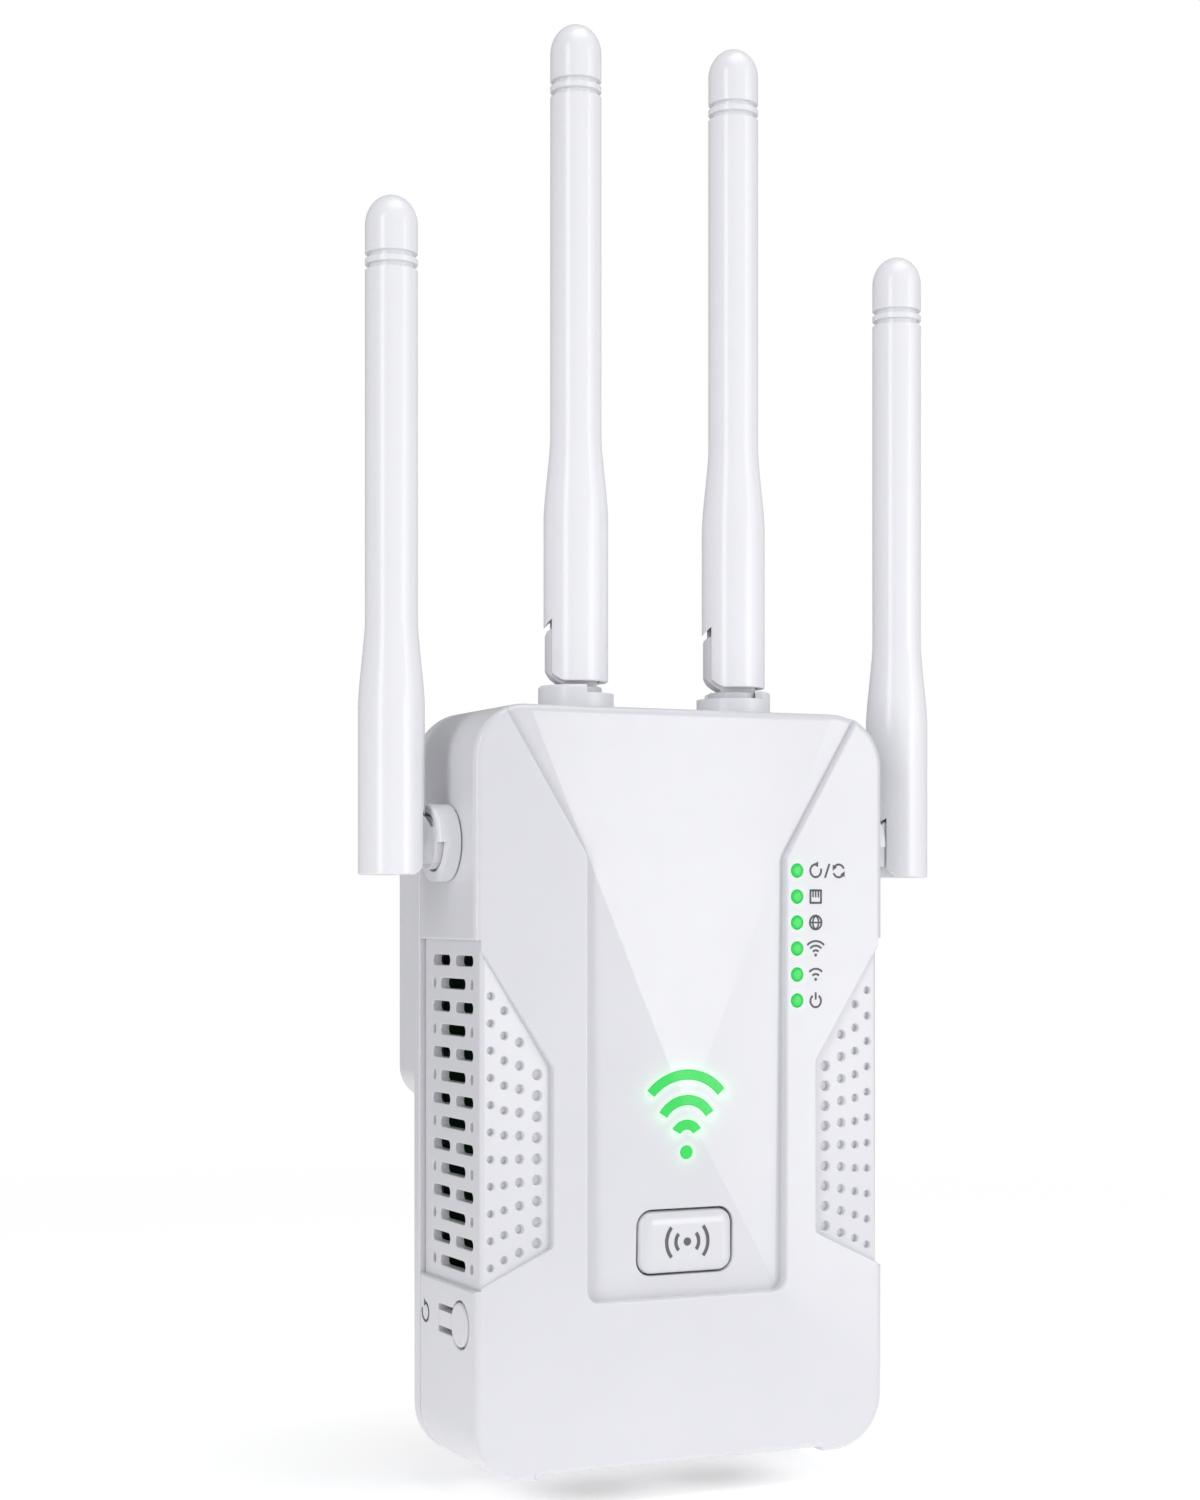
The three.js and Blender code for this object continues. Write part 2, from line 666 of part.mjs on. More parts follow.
function resetTab() {
  const outer = -halfWidth - 0.15;
  const half = resetArmWidth / 2;
  const disc = rod([outer, resetY, resetZ], [-halfWidth + wall, resetY, resetZ], resetRadius);
  const armRear = frontY + resetArmEnd - seat;
  const arm = box(-halfWidth, -halfWidth + 1.2, resetY, armRear, resetZ - half, resetZ + half);
  const nub = rod([-halfWidth + 1, resetY, resetZ], [resetPlungerX - seat, resetY, resetZ], 1, 12);
  return toMesh('reset_tab', disc.add(arm).add(nub), whiteShell);
}

function resetSwitch() {
  const outer = resetPlungerX + 1.3;
  const housing = box(outer, outer + 3.6, resetY - 2.4, boardFront - 0.1, resetZ - 3, resetZ + 3);
  const well = rod([outer - 1, resetY, resetZ], [outer + 2.8, resetY, resetZ], resetPlungerRadius + 0.5, 12);
  return toMesh('reset_switch', housing.subtract(well), chipBlack);
}

function resetPlunger() {
  const inner = resetPlungerX + 2.8;
  const solid = rod([resetPlungerX, resetY, resetZ], [inner, resetY, resetZ], resetPlungerRadius, 12);
  return toMesh('reset_switch_plunger', solid, plain(0xe8e8e8, 0.5));
}

// ---- boards and what they carry ----
function mainBoard() {
  const half = halfWidth - wall - boardClear;
  const bossSpace = bossRadius + 0.8;
  const top = bodyTop - screwInset - bossSpace;
  const foot = bodyFoot + wall + seat;
  const notchX = screwX - bossSpace;
  const notchZ = bodyFoot + screwInset + bossSpace;
  const shape = outline([
    [-half, top], [-half, notchZ], [-notchX, notchZ], [-notchX, foot],
    [notchX, foot], [notchX, notchZ], [half, notchZ], [half, top],
  ]);
  return toMesh('main_board', slab(shape, boardFront, boardRear), boardGreen);
}

function onBoard(name, x, z, width, height, thick, material) {
  const rear = boardFront - 0.1;
  const solid = box(x - width / 2, x + width / 2, rear - thick, rear, z - height / 2, z + height / 2);
  return toMesh(name, solid, material);
}

const chipX = -10.5;
const chipZ = bodyTop - 29.7;
const chipThick = 1.4;
const sinkHalf = 8;
const finCount = 5;
const finPitch = 3.7;
const finHalf = 0.5;

function heatSink() {
  const base = boardFront - 0.1 - chipThick - 0.1;
  const low = chipZ - sinkHalf;
  const high = chipZ + sinkHalf;
  let sink = box(chipX - sinkHalf, chipX + sinkHalf, base - 1.5, base, low, high);
  for (let fin = 0; fin < finCount; fin += 1) {
    const x = chipX + (fin - (finCount - 1) / 2) * finPitch;
    sink = sink.add(box(x - finHalf, x + finHalf, base - 6.5, base - 1, low, high));
  }
  return toMesh('heat_sink', sink, plain(0xb4b6b8, 0.4, 0.9));
}

function networkJack(name, x) {
  const rear = jackY + jackThick / 2;
  const front = jackY - jackThick / 2;
  let jack = box(x - jackWidth / 2, x + jackWidth / 2, front, rear, jackFoot, jackFoot + jackLength);
  const deep = jackFoot + 13;
  const mouth = plugInMouth / 2;
  const low = front + 3.9;
  const cuts = [
    box(x - mouth, x + mouth, low, low + 7, jackFoot - 1, deep),
    box(x - 3.2, x + 3.2, low - 1.6, low + 1, jackFoot - 1, deep),
    box(x - 1.9, x + 1.9, low - 2.7, low, jackFoot - 1, deep),
  ];
  for (const cut of cuts) {
    jack = jack.subtract(cut);
  }
  return toMesh(name, jack, tinPlate);
}

const powerY = -powerBoardRear;
const powerFront = powerY - boardThickness;

function powerBoard() {
  const half = plugWidth / 2 - wall - boardClear;
  const high = plugHeight / 2 - wall - boardClear;
  const slotX = bladeHalf / 2 + seat;
  const slotZ = tongueHalf + seat;
  let board = box(-half, half, powerFront, powerY, -high, high);
  for (const side of [-1, 1]) {
    const x = side * bladePitch / 2;
    board = board.subtract(box(x - slotX, x + slotX, powerFront - 1, powerY + 1, -slotZ, slotZ));
  }
  return toMesh('power_board', board, plain(0xb89a5a, 0.6));
}

function transformer() {
  const tall = 9;
  const x = 13;
  const core = box(x - 2.6, x + 7, powerFront - tall, powerFront - 0.1, -14, -4);
  const coil = box(x - 4.4, x + 8.8, powerFront - tall + 1.6, powerFront - 1.6, -12, -6);
  return toMesh('transformer', core.add(coil), coilYellow);
}

function capacitor() {
  const radius = 4;
  const y = powerFront - radius - 0.2;
  const z = -11;
  const can = rod([-19, y, z], [-5, y, z], radius, 20);
  const core = rod([-18, y, z], [-16, y, z], radius - 0.3, 20);
  const groove = rod([-17.4, y, z], [-16.8, y, z], radius + 1, 20).subtract(core);
  return toMesh('bulk_capacitor', can.subtract(groove), plain(0x24314f, 0.4));
}

function boardHeader() {
  const solid = box(-20, -12, boardRear + 0.1, powerFront - 0.1, 9, 12);
  return toMesh('board_header', solid, chipBlack);
}

// ---- antennas: made in a frame with +Z out of the body and +X the way they fold ----
function collar(name, lowTurn) {
  const bore = stemRadius + seat;
  const seatRadius = discRadius + seat;
  const flange = -wall - seat;
  const outer = turned([
    [0, flange - 1], [neckRadius, flange - 1], [neckRadius + 0.7, flange], [neckRadius, flange],
    [neckRadius, 0.1], [collarRadius, 0.1], [collarRadius, collarTall - 0.4],
    [collarRadius - 0.4, collarTall], [0, collarTall],
  ]);
  const inner = turned([
    [0, flange - 2], [bore, flange - 2], [bore, 1], [seatRadius, 1],
    [seatRadius, collarTall + 1], [0, collarTall + 1],
  ]);
  const over = collarRadius + 1;
  const step = box(0, over, -over, over, collarTall - collarStep, collarTall + 1);
  return toMesh(name, outer.subtract(inner).subtract(step.rotate([0, 0, lowTurn])), greyCollar);
}

function elbow(name) {
  const half = slotWidth / 2 - tongueGap;
  const back = slotBack - tongueGap;
  const foot = collarTall - 0.1;
  const face = antennaBase - 0.15;
  const brow = collarTall + 0.2;
  const sweep = slotReach - tongueGap;
  const browAngle = Math.asin((pinHeight - brow) / sweep);
  const shape = new THREE.Shape();
  shape.moveTo(-back, foot - 0.5);
  shape.lineTo(sweep * Math.cos(browAngle), foot - 0.5);
  shape.absarc(0, pinHeight, sweep, -browAngle, -Math.acos(face / sweep));
  shape.lineTo(face, pinHeight + back - 0.8);
  shape.lineTo(face - 0.8, pinHeight + back);
  shape.lineTo(0, pinHeight + back);
  shape.absarc(0, pinHeight, back, Math.PI / 2, Math.PI);
  shape.closePath();
  const column = turned([
    [0, foot - 1], [discRadius, foot - 1], [discRadius, brow], [face, brow],
    [face, pinHeight + slotReach], [0, pinHeight + slotReach],
  ]);
  let solid = slab(shape, -half, half, 5).intersect(column);
  const snapRadius = stemRadius + 0.7;
  const flange = -wall - seat - 1 - seat; // the snap ring's top, under the collar's own flange
  solid = solid.add(turned([
    [0, flange - 1.8], [stemRadius, flange - 1.8], [snapRadius, flange - 0.8], [snapRadius, flange],
    [stemRadius, flange], [stemRadius, 1.3], [discRadius, 1.3], [discRadius, foot], [0, foot],
  ]));
  solid = solid.subtract(rod([0, -half - 1, pinHeight], [0, half + 1, pinHeight], pinRadius + 0.2, 10));
  solid = solid.subtract(rod([0, 0, flange - 3], [0, 0, pinHeight], leadBore, 8));
  return toMesh(name, solid, greyCollar);
}

const pinHalf = antennaBase - pinCover;

function antennaSleeve(name) {
  const foot = -pinAboveFoot;
  const tip = foot + antennaLength;
  const profile = [[0, foot], [antennaBase, foot], [antennaBase, foot + baseLength],
    [antennaTip, foot + baseLength + taperLength]];
  const domeSteps = 4;
  for (let step = 0; step < domeSteps; step += 1) {
    const angle = (step / domeSteps) * Math.PI / 2;
    profile.push([antennaTip * Math.cos(angle), tip - domeHeight * (1 - Math.sin(angle))]);
  }
  profile.push([0, tip]);
  let sleeve = turned(profile, 20);
  const slot = new THREE.Shape();
  slot.moveTo(-slotBack, foot - 1);
  slot.lineTo(slotReach, foot - 1);
  slot.lineTo(slotReach, 0);
  slot.absarc(0, 0, slotReach, 0, Math.acos(-slotBack / slotReach));
  slot.closePath();
  sleeve = sleeve.subtract(slab(slot, -slotWidth / 2, slotWidth / 2, 6));
  const corner = new THREE.Shape();
  corner.moveTo(0, -footSweep);
  corner.absarc(0, 0, footSweep, -Math.PI / 2, 0);
  corner.lineTo(footSweep + 1, 0);
  corner.lineTo(footSweep + 1, -footSweep - 1);
  corner.lineTo(0, -footSweep - 1);
  corner.closePath();
  sleeve = sleeve.subtract(slab(corner, -antennaBase - 1, antennaBase + 1, 5));
  sleeve = sleeve.subtract(rod([0, -pinHalf, 0], [0, pinHalf, 0], pinRadius + lensGap, 10));
  sleeve = sleeve.subtract(rod([0, 0, 1], [0, 0, tip - 7], radiatorRadius + seat, 10));
  return toMesh(name, sleeve, whiteRod);
}

function radiator(name) {
  const tip = antennaLength - pinAboveFoot;
  const solid = rod([0, 0, slotReach + 1], [0, 0, tip - 8], radiatorRadius, 8);
  return toMesh(name, solid, brass);
}

function hingePin(name) {
  const half = pinHalf - lensGap;
  return toMesh(name, rod([0, -half, 0], [0, half, 0], pinRadius, 10), screwSteel);
}

function antenna(name, place, outward, towards, folded, lowTurn) {
  const out = new THREE.Vector3(...outward);
  const fold = new THREE.Vector3(...towards);
  const side = new THREE.Vector3().crossVectors(out, fold);
  const foot = new THREE.Group();
  foot.position.set(...place);
  foot.quaternion.setFromRotationMatrix(new THREE.Matrix4().makeBasis(fold, side, out));
  foot.add(collar(`${name}_collar`, lowTurn), elbow(`${name}_elbow`));
  const arm = new THREE.Group();
  arm.position.set(0, 0, pinHeight);
  arm.rotation.y = folded ? Math.PI / 2 : 0;
  arm.add(antennaSleeve(`${name}_antenna_sleeve`));
  arm.add(radiator(`${name}_radiator`), hingePin(`${name}_hinge_pin`));
  foot.add(arm);
  return foot;
}

// ---- the assembly ----
const group = new THREE.Group();
group.add(frontShell(), rearCover());
for (const side of [-1, 1]) {
  const word = side < 0 ? 'left' : 'right';
  group.add(plugBlade(`plug_blade_${word}`, side * bladePitch / 2));
  group.add(coverScrew(`cover_screw_top_${word}`, side * screwX, bodyTop - screwInset));
  group.add(coverScrew(`cover_screw_bottom_${word}`, side * screwX, bodyFoot + screwInset));
  group.add(networkJack(side < 0 ? 'wan_jack' : 'lan_jack', side * jackPitch / 2));
}
group.add(signalLightGuide(), statusLightGuide());
for (let index = 0; index < statusCount; index += 1) {
  group.add(statusLed(index));
}
group.add(pairButton(), pairSwitch(), pairPlunger());
group.add(resetTab(), resetSwitch(), resetPlunger());
group.add(mainBoard(), heatSink());
group.add(onBoard('processor', chipX, chipZ, 13, 13, chipThick, chipBlack));
group.add(onBoard('radio_shield', -13, buttonZ + 1, 14, 13, 2.6, tinPlate));
group.add(onBoard('network_transformer', 10.5, buttonZ - 0.5, 12, 7, 3, chipBlack));
group.add(powerBoard(), transformer(), capacitor(), boardHeader());

const turn = topFoldTurn * Math.PI / 180;
const topFold = [Math.cos(turn), Math.sin(turn), 0];
group.add(antenna('top_left', [-topAntennaX, antennaY, bodyTop], [0, 0, 1], topFold, false, 194));
group.add(antenna('top_right', [topAntennaX, antennaY, bodyTop], [0, 0, 1], topFold, false, 45));
group.add(antenna('side_left', [-halfWidth, antennaY, sideAntennaZ], [-1, 0, 0], [0, 0, 1], true, 180));
group.add(antenna('side_right', [halfWidth, antennaY, sideAntennaZ], [1, 0, 0], [0, 0, 1], true, 180));

const leadRadius = 0.6;
const leadTop = bodyTop - stemEnd - seat;
const leadX = halfWidth - stemEnd - seat;
const solder = boardFront - 1; // middle of a lead that lies on the board
for (const side of [-1, 1]) {
  const word = side < 0 ? 'left' : 'right';
  const besideX = side * (topAntennaX + 0.6);
  group.add(lead(`top_${word}_coax`, [
    [side * topAntennaX, antennaY, leadTop],
    [side * topAntennaX, antennaY + 0.4, leadTop - 3],
    [besideX, antennaY + 2.6, leadTop - 7],
    [besideX, solder - 0.5, leadTop - 10],
    [besideX, solder, leadTop - 13],
  ], leadRadius));
  const inwardX = side * (leadX - 2.6);
  group.add(lead(`side_${word}_coax`, [
    [side * leadX, antennaY, sideAntennaZ],
    [side * (leadX - 1.6), antennaY + 1, sideAntennaZ - 0.3],
    [inwardX, antennaY + 3.6, sideAntennaZ - 2.4],
    [inwardX, solder - 0.5, sideAntennaZ - 6],
    [inwardX, solder, sideAntennaZ - 10],
  ], leadRadius));
}

export default group;
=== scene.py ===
"""A plug-in wifi range extender with four folding rod antennas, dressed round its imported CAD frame."""

import json
import math

import bmesh
import bpy
import numpy as np
from mathutils import Matrix, Vector

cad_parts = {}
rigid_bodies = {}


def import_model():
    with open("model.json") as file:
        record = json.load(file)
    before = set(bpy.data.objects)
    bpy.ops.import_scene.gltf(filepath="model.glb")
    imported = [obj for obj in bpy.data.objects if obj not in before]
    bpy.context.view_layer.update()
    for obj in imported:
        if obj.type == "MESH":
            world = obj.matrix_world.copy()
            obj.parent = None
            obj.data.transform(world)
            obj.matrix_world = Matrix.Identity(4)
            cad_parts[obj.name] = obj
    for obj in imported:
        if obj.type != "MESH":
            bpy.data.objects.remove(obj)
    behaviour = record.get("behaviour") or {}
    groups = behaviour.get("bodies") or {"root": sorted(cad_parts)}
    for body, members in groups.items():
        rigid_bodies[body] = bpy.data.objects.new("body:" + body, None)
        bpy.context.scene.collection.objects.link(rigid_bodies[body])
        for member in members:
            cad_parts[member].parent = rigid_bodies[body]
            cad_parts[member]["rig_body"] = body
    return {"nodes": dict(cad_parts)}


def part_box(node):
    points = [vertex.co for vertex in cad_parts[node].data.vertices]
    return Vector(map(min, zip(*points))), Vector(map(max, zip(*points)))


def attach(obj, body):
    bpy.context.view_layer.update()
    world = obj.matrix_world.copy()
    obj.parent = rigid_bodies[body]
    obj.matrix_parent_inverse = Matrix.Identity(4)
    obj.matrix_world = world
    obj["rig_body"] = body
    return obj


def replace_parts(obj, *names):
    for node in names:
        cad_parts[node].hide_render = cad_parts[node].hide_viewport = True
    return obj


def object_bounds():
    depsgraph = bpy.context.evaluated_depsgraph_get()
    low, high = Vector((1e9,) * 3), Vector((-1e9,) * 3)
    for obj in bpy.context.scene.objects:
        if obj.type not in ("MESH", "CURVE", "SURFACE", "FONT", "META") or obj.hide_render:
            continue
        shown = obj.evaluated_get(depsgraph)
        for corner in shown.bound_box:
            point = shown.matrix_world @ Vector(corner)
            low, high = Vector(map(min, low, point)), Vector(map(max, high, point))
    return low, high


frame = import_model()
cad_low, cad_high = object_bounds()

# ---------------------------------------------------------------- the studio
# A white sweep with tall soft boxes each side of the camera, a strip and a small box that the flats of the
# face mirror, and a broad one overhead. The camera looks level from the left of the front, at the height of
# the status lights.
def soft_box(name, place, aim, width, height, watts):
    """A rectangular lamp at place, facing aim."""
    lamp = bpy.data.lights.new(name, "AREA")
    lamp.shape = "RECTANGLE"
    lamp.size = width
    lamp.size_y = height
    lamp.energy = watts
    holder = bpy.data.objects.new(name, lamp)
    holder.location = place
    holder.rotation_euler = (Vector(aim) - Vector(place)).to_track_quat("-Z", "Y").to_euler()
    bpy.context.scene.collection.objects.link(holder)


def studio_world(glow, backdrop):
    """A dim even glow for the object, and plain white where the camera looks past it."""
    world = bpy.data.worlds.new("studio")
    world.use_nodes = True
    nodes, links = world.node_tree.nodes, world.node_tree.links
    surface = nodes["Background"]
    surface.inputs["Color"].default_value = (0.97, 0.98, 1.0, 1)
    surface.inputs["Strength"].default_value = glow
    white = nodes.new("ShaderNodeBackground")
    white.inputs["Color"].default_value = (1, 1, 1, 1)
    white.inputs["Strength"].default_value = backdrop
    path, mix = nodes.new("ShaderNodeLightPath"), nodes.new("ShaderNodeMixShader")
    links.new(path.outputs["Is Camera Ray"], mix.inputs[0])
    links.new(surface.outputs[0], mix.inputs[1])
    links.new(white.outputs[0], mix.inputs[2])
    links.new(mix.outputs[0], nodes["World Output"].inputs["Surface"])
    bpy.context.scene.world = world


studio_world(glow=0.37, backdrop=1.0)
lit_point = (0, -0.024, 0.0)
soft_box("right_soft_box", (0.58, -0.42, 0.10), lit_point, 0.20, 0.80, 0.55)
soft_box("right_strip", (0.425, -0.57, 0.02), lit_point, 0.09, 0.74, 1.10)
soft_box("front_soft_box", (0.31, -0.66, 0.035), lit_point, 0.12, 0.25, 0.50)
soft_box("left_soft_box", (-0.70, -0.42, 0.10), lit_point, 0.20, 0.90, 2.75)
soft_box("overhead_soft_box", (0.05, -0.22, 0.72), lit_point, 0.60, 0.40, 2.0)

camera = bpy.data.cameras.new("camera")
camera.sensor_width = 36
camera.lens = 61.7
camera.shift_y = 0.1033
camera.clip_start = 0.01
camera_stand = bpy.data.objects.new("camera", camera)
camera_stand.location = (-0.1465, -0.3225, 0.0059)
camera_stand.rotation_euler = (math.radians(90), 0, math.radians(-25))
bpy.context.scene.collection.objects.link(camera_stand)
bpy.context.scene.camera = camera_stand
bpy.context.scene.view_settings.view_transform = "Standard"


def pale_floor(size, level):
    """A round white floor that thins out to nothing towards its edge."""
    mesh = bpy.data.meshes.new("studio_floor")
    turns = [math.radians(turn) for turn in range(0, 360, 5)]
    rim = [(size * math.cos(turn), size * math.sin(turn), level) for turn in turns]
    mesh.from_pydata(rim, [], [range(len(rim))])
    paint = bpy.data.materials.new("pale_floor")
    paint.use_nodes = True
    nodes, links = paint.node_tree.nodes, paint.node_tree.links
    shader = nodes["Principled BSDF"]
    shader.inputs["Base Color"].default_value = (0.92, 0.92, 0.92, 1)
    shader.inputs["Roughness"].default_value = 0.9
    shader.inputs["Emission Color"].default_value = (1, 1, 1, 1)
    shader.inputs["Emission Strength"].default_value = 0.42
    place, reach = nodes.new("ShaderNodeTexCoord"), nodes.new("ShaderNodeVectorMath")
    fade = nodes.new("ShaderNodeMapRange")
    reach.operation = "LENGTH"
    fade.inputs["From Min"].default_value = size * 0.2
    fade.inputs["From Max"].default_value = size * 0.98
    clear, mix = nodes.new("ShaderNodeBsdfTransparent"), nodes.new("ShaderNodeMixShader")
    links.new(place.outputs["Object"], reach.inputs[0])
    links.new(reach.outputs["Value"], fade.inputs["Value"])
    links.new(fade.outputs["Result"], mix.inputs[0])
    links.new(shader.outputs[0], mix.inputs[1])
    links.new(clear.outputs[0], mix.inputs[2])
    links.new(mix.outputs[0], nodes["Material Output"].inputs["Surface"])
    mesh.materials.append(paint)
    floor = bpy.data.objects.new("studio_floor", mesh)
    bpy.context.scene.collection.objects.link(floor)


pale_floor(size=0.42, level=cad_low.z - 0.004)

# ---------------------------------------------------------------- front shell
# One deep tub, injection moulded in cool-white satin ABS: the faceted face with its sunk column, the waist
# windows with blind dots in front and open slots at the sides, and the holes for all that passes through.
MM = 0.001


def span(node):
    """A CAD node's lowest and highest corners, in millimetres."""
    low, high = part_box(node)
    return low / MM, high / MM


def rounded(corners, grow=0.0, steps=6):
    """An outline of anticlockwise (u, v, radius) corners, moved outwards by grow, each corner an arc."""
    points = []
    for index, (u, v, radius) in enumerate(corners):
        here = Vector((u, v))
        before = Vector(corners[index - 1][:2])
        after = Vector(corners[(index + 1) % len(corners)][:2])
        inward = (here - before).normalized()
        onward = (after - here).normalized()
        turn = math.atan2(inward.x * onward.y - inward.y * onward.x, inward.dot(onward))
        side = Vector((inward.y, -inward.x))
        mitre = side + Vector((onward.y, -onward.x))
        corner = here + mitre * (2 * grow / mitre.length_squared)
        bend = max(radius + grow * math.copysign(1, turn), 0.02)
        start = corner - inward * (bend * math.tan(abs(turn) / 2))
        centre = start - side * math.copysign(bend, turn)
        for step in range(steps + 1):
            points.append(centre + Matrix.Rotation(turn * step / steps, 2) @ (start - centre))
    return points


def ring_solid(rings, closed=False):
    """A closed mesh through rings of equally many points, capped at both ends or joined end to end."""
    count = len(rings[0])
    faces = []
    for ring in range(len(rings) if closed else len(rings) - 1):
        for index in range(count):
            here, beside = ring * count + index, ring * count + (index + 1) % count
            onward = ((ring + 1) % len(rings) - ring) * count
            faces.append((here, beside, beside + onward, here + onward))
    if not closed:
        faces += [range(count), range((len(rings) - 1) * count, len(rings) * count)]
    mesh = bpy.data.meshes.new("solid")
    mesh.from_pydata([point for ring in rings for point in ring], [], faces)
    work = bmesh.new()
    work.from_mesh(mesh)
    bmesh.ops.recalc_face_normals(work, faces=work.faces)
    work.to_mesh(mesh)
    work.free()
    return mesh


def carved(solid, *tools, keep="DIFFERENCE"):
    """The solid with each tool cut away, joined on or kept in common, as a new mesh."""
    base = bpy.data.objects.new("base", solid)
    bpy.context.scene.collection.objects.link(base)
    made = [base]
    for tool in tools:
        other = bpy.data.objects.new("tool", tool)
        bpy.context.scene.collection.objects.link(other)
        cut = base.modifiers.new("cut", "BOOLEAN")
        cut.operation = keep
        cut.solver = "MANIFOLD"
        cut.object = other
        made.append(other)
    result = bpy.data.meshes.new_from_object(base.evaluated_get(bpy.context.evaluated_depsgraph_get()))
    for thing in made:
        bpy.data.objects.remove(thing)
    return result


def block(low, high):
    """A plain box between two corners."""
    flat = [(low[0], low[1]), (high[0], low[1]), (high[0], high[1]), (low[0], high[1])]
    return ring_solid([[(x, y, z) for x, y in flat] for z in (low[2], high[2])])


def quarter_round(radius, rolls):
    """(along, down) steps over a rounded edge: how far each lies in from the side and below the flat."""
    angles = [math.pi / 2 * roll / rolls for roll in range(rolls + 1)]
    return [(radius * (1 - math.sin(angle)), radius * (1 - math.cos(angle))) for angle in angles]


def well(corners, place, depth, lip, taper=0.0, steps=6):
    """A cutter for a hole with a rolled lip; place(u, v, sink) is the point sink below the surface."""
    proud = 4
    levels = [(lip, -proud)] + quarter_round(lip, 4) + [(-taper, depth)]
    return ring_solid([
        [place(u, v, sink) for u, v in rounded(corners, grow, steps)] for grow, sink in levels
    ])


sliver = 1e-3


def rectangle(width, height, radius, u=0.0, v=0.0):
    """The four corners of a rounded rectangle about u, v."""
    x, z = width / 2, height / 2
    return [(u - x, v - z, radius), (u + x, v - z, radius), (u + x, v + z, radius), (u - x, v + z, radius)]


def disc(radius, u=0.0, v=0.0):
    """A circle as four corners with only slivers of straight edge between them."""
    return rectangle(2 * radius, 2 * radius, radius - sliver, u, v)


def stamp_tree():
    """Geometry nodes that set copies of one stamp along a straight row."""
    tree = bpy.data.node_groups.new("stamp_row", "GeometryNodeTree")
    tree.interface.new_socket("Geometry", in_out="OUTPUT", socket_type="NodeSocketGeometry")
    kinds = {"Stamp": "Object", "Count": "Int", "First": "Vector", "Step": "Vector", "Finish": "Material"}
    for name, kind in kinds.items():
        tree.interface.new_socket(name, in_out="INPUT", socket_type="NodeSocket" + kind)
    nodes = tree.nodes
    given, made = nodes.new("NodeGroupInput"), nodes.new("NodeGroupOutput")
    row, stamp = nodes.new("GeometryNodeMeshLine"), nodes.new("GeometryNodeObjectInfo")
    copies, real = nodes.new("GeometryNodeInstanceOnPoints"), nodes.new("GeometryNodeRealizeInstances")
    paint = nodes.new("GeometryNodeSetMaterial")
    for giver, output, taker, entry in (
        (given, "Stamp", stamp, "Object"), (given, "Count", row, "Count"),
        (given, "First", row, "Start Location"), (given, "Step", row, "Offset"),
        (row, "Mesh", copies, "Points"), (stamp, "Geometry", copies, "Instance"),
        (copies, "Instances", real, "Geometry"), (real, "Geometry", paint, "Geometry"),
        (given, "Finish", paint, "Material"), (paint, "Geometry", made, "Geometry"),
    ):
        tree.links.new(giver.outputs[output], taker.inputs[entry])
    return tree


stamp_row = stamp_tree()


def stamped(stamp, count, first, step, material=None):
    """A mesh of count copies of the stamp, the first moved to first and each next one by step."""
    die = bpy.data.objects.new("die", stamp)
    strip = bpy.data.objects.new("strip", bpy.data.meshes.new("strip"))
    for thing in (die, strip):
        bpy.context.scene.collection.objects.link(thing)
    modifier = strip.modifiers.new("row", "NODES")
    modifier.node_group = stamp_row
    values = {"Stamp": die, "Count": count, "First": first, "Step": step, "Finish": material}
    for item in stamp_row.interface.items_tree:
        if item.name in values:
            modifier[item.identifier] = values[item.name]
    result = bpy.data.meshes.new_from_object(strip.evaluated_get(bpy.context.evaluated_depsgraph_get()))
    bpy.data.objects.remove(strip)
    bpy.data.objects.remove(die)
    return result


def plane_through(a, b, c):
    """depth(x, z) of the plane through three (x, z, depth) points."""
    points = np.array([a, b, c], float)
    slope_x, slope_z, level = np.linalg.solve(np.column_stack((points[:, :2], np.ones(3))), points[:, 2])
    return lambda x, z: slope_x * x + slope_z * z + level


# Sizes are in millimetres; a depth is behind the foremost plane of the face.
shell_low, shell_high = span("front_shell")
front_y, shell_rear = shell_low.y, shell_high.y
foot_z, top_z, half_width = shell_low.z, shell_high.z, shell_high.x
shell_wall = 2.0
face_wall = 3.2
corner_radius = 7.0
rim_radius = 0.95

column_half = 13.9
column_top = top_z - 18.6
column_foot = foot_z + 21.4
column_corner = 1.6
funnel_half = 25.1
wall_draft = 0.35
column_lip = 0.32
apex_z, apex_depth = column_foot + 23.2, 0.5
funnel_slope = 0.012
funnel_depth = apex_depth + funnel_slope * (column_top - apex_z)
foot_depth = 1.4
ledge_slope = 0.045
chin_x, chin_depth, chin_corner_depth = 20.6, 0.75, 1.3
chin_z = foot_z - 3
chin_break = foot_z + 7.6
beyond = half_width + 3


def mirrored(depth, side):
    """The same plane on the other side of the face."""
    return lambda x, z: depth(side * x, z)


floor_half = column_half - wall_draft
apex = (0, apex_z, apex_depth)
funnel_corner = (floor_half, column_top, funnel_depth)
foot_corner = (floor_half, column_foot, foot_depth)
upper_facet = plane_through(apex, (0, column_top, funnel_depth), funnel_corner)
side_facet = plane_through(apex, funnel_corner, foot_corner)
foot_facet = plane_through(apex, (-floor_half, column_foot, foot_depth), foot_corner)
ledge_foot = (column_half, column_foot, 0)
ledge_end = (beyond, chin_break, ledge_slope * (beyond - column_half))
chin_middle = (chin_x, chin_z, chin_depth)
ledge = plane_through(ledge_foot, (column_half, column_top, 0), ledge_end)
chin = plane_through((-column_half, column_foot, 0), ledge_foot, chin_middle)
cheek = plane_through(ledge_foot, ledge_end, chin_middle)
chin_corner = plane_through(ledge_end, (beyond, chin_z, chin_corner_depth), chin_middle)
outer_facets = [chin] + [mirrored(part, side) for part in (ledge, cheek, chin_corner) for side in (-1, 1)]
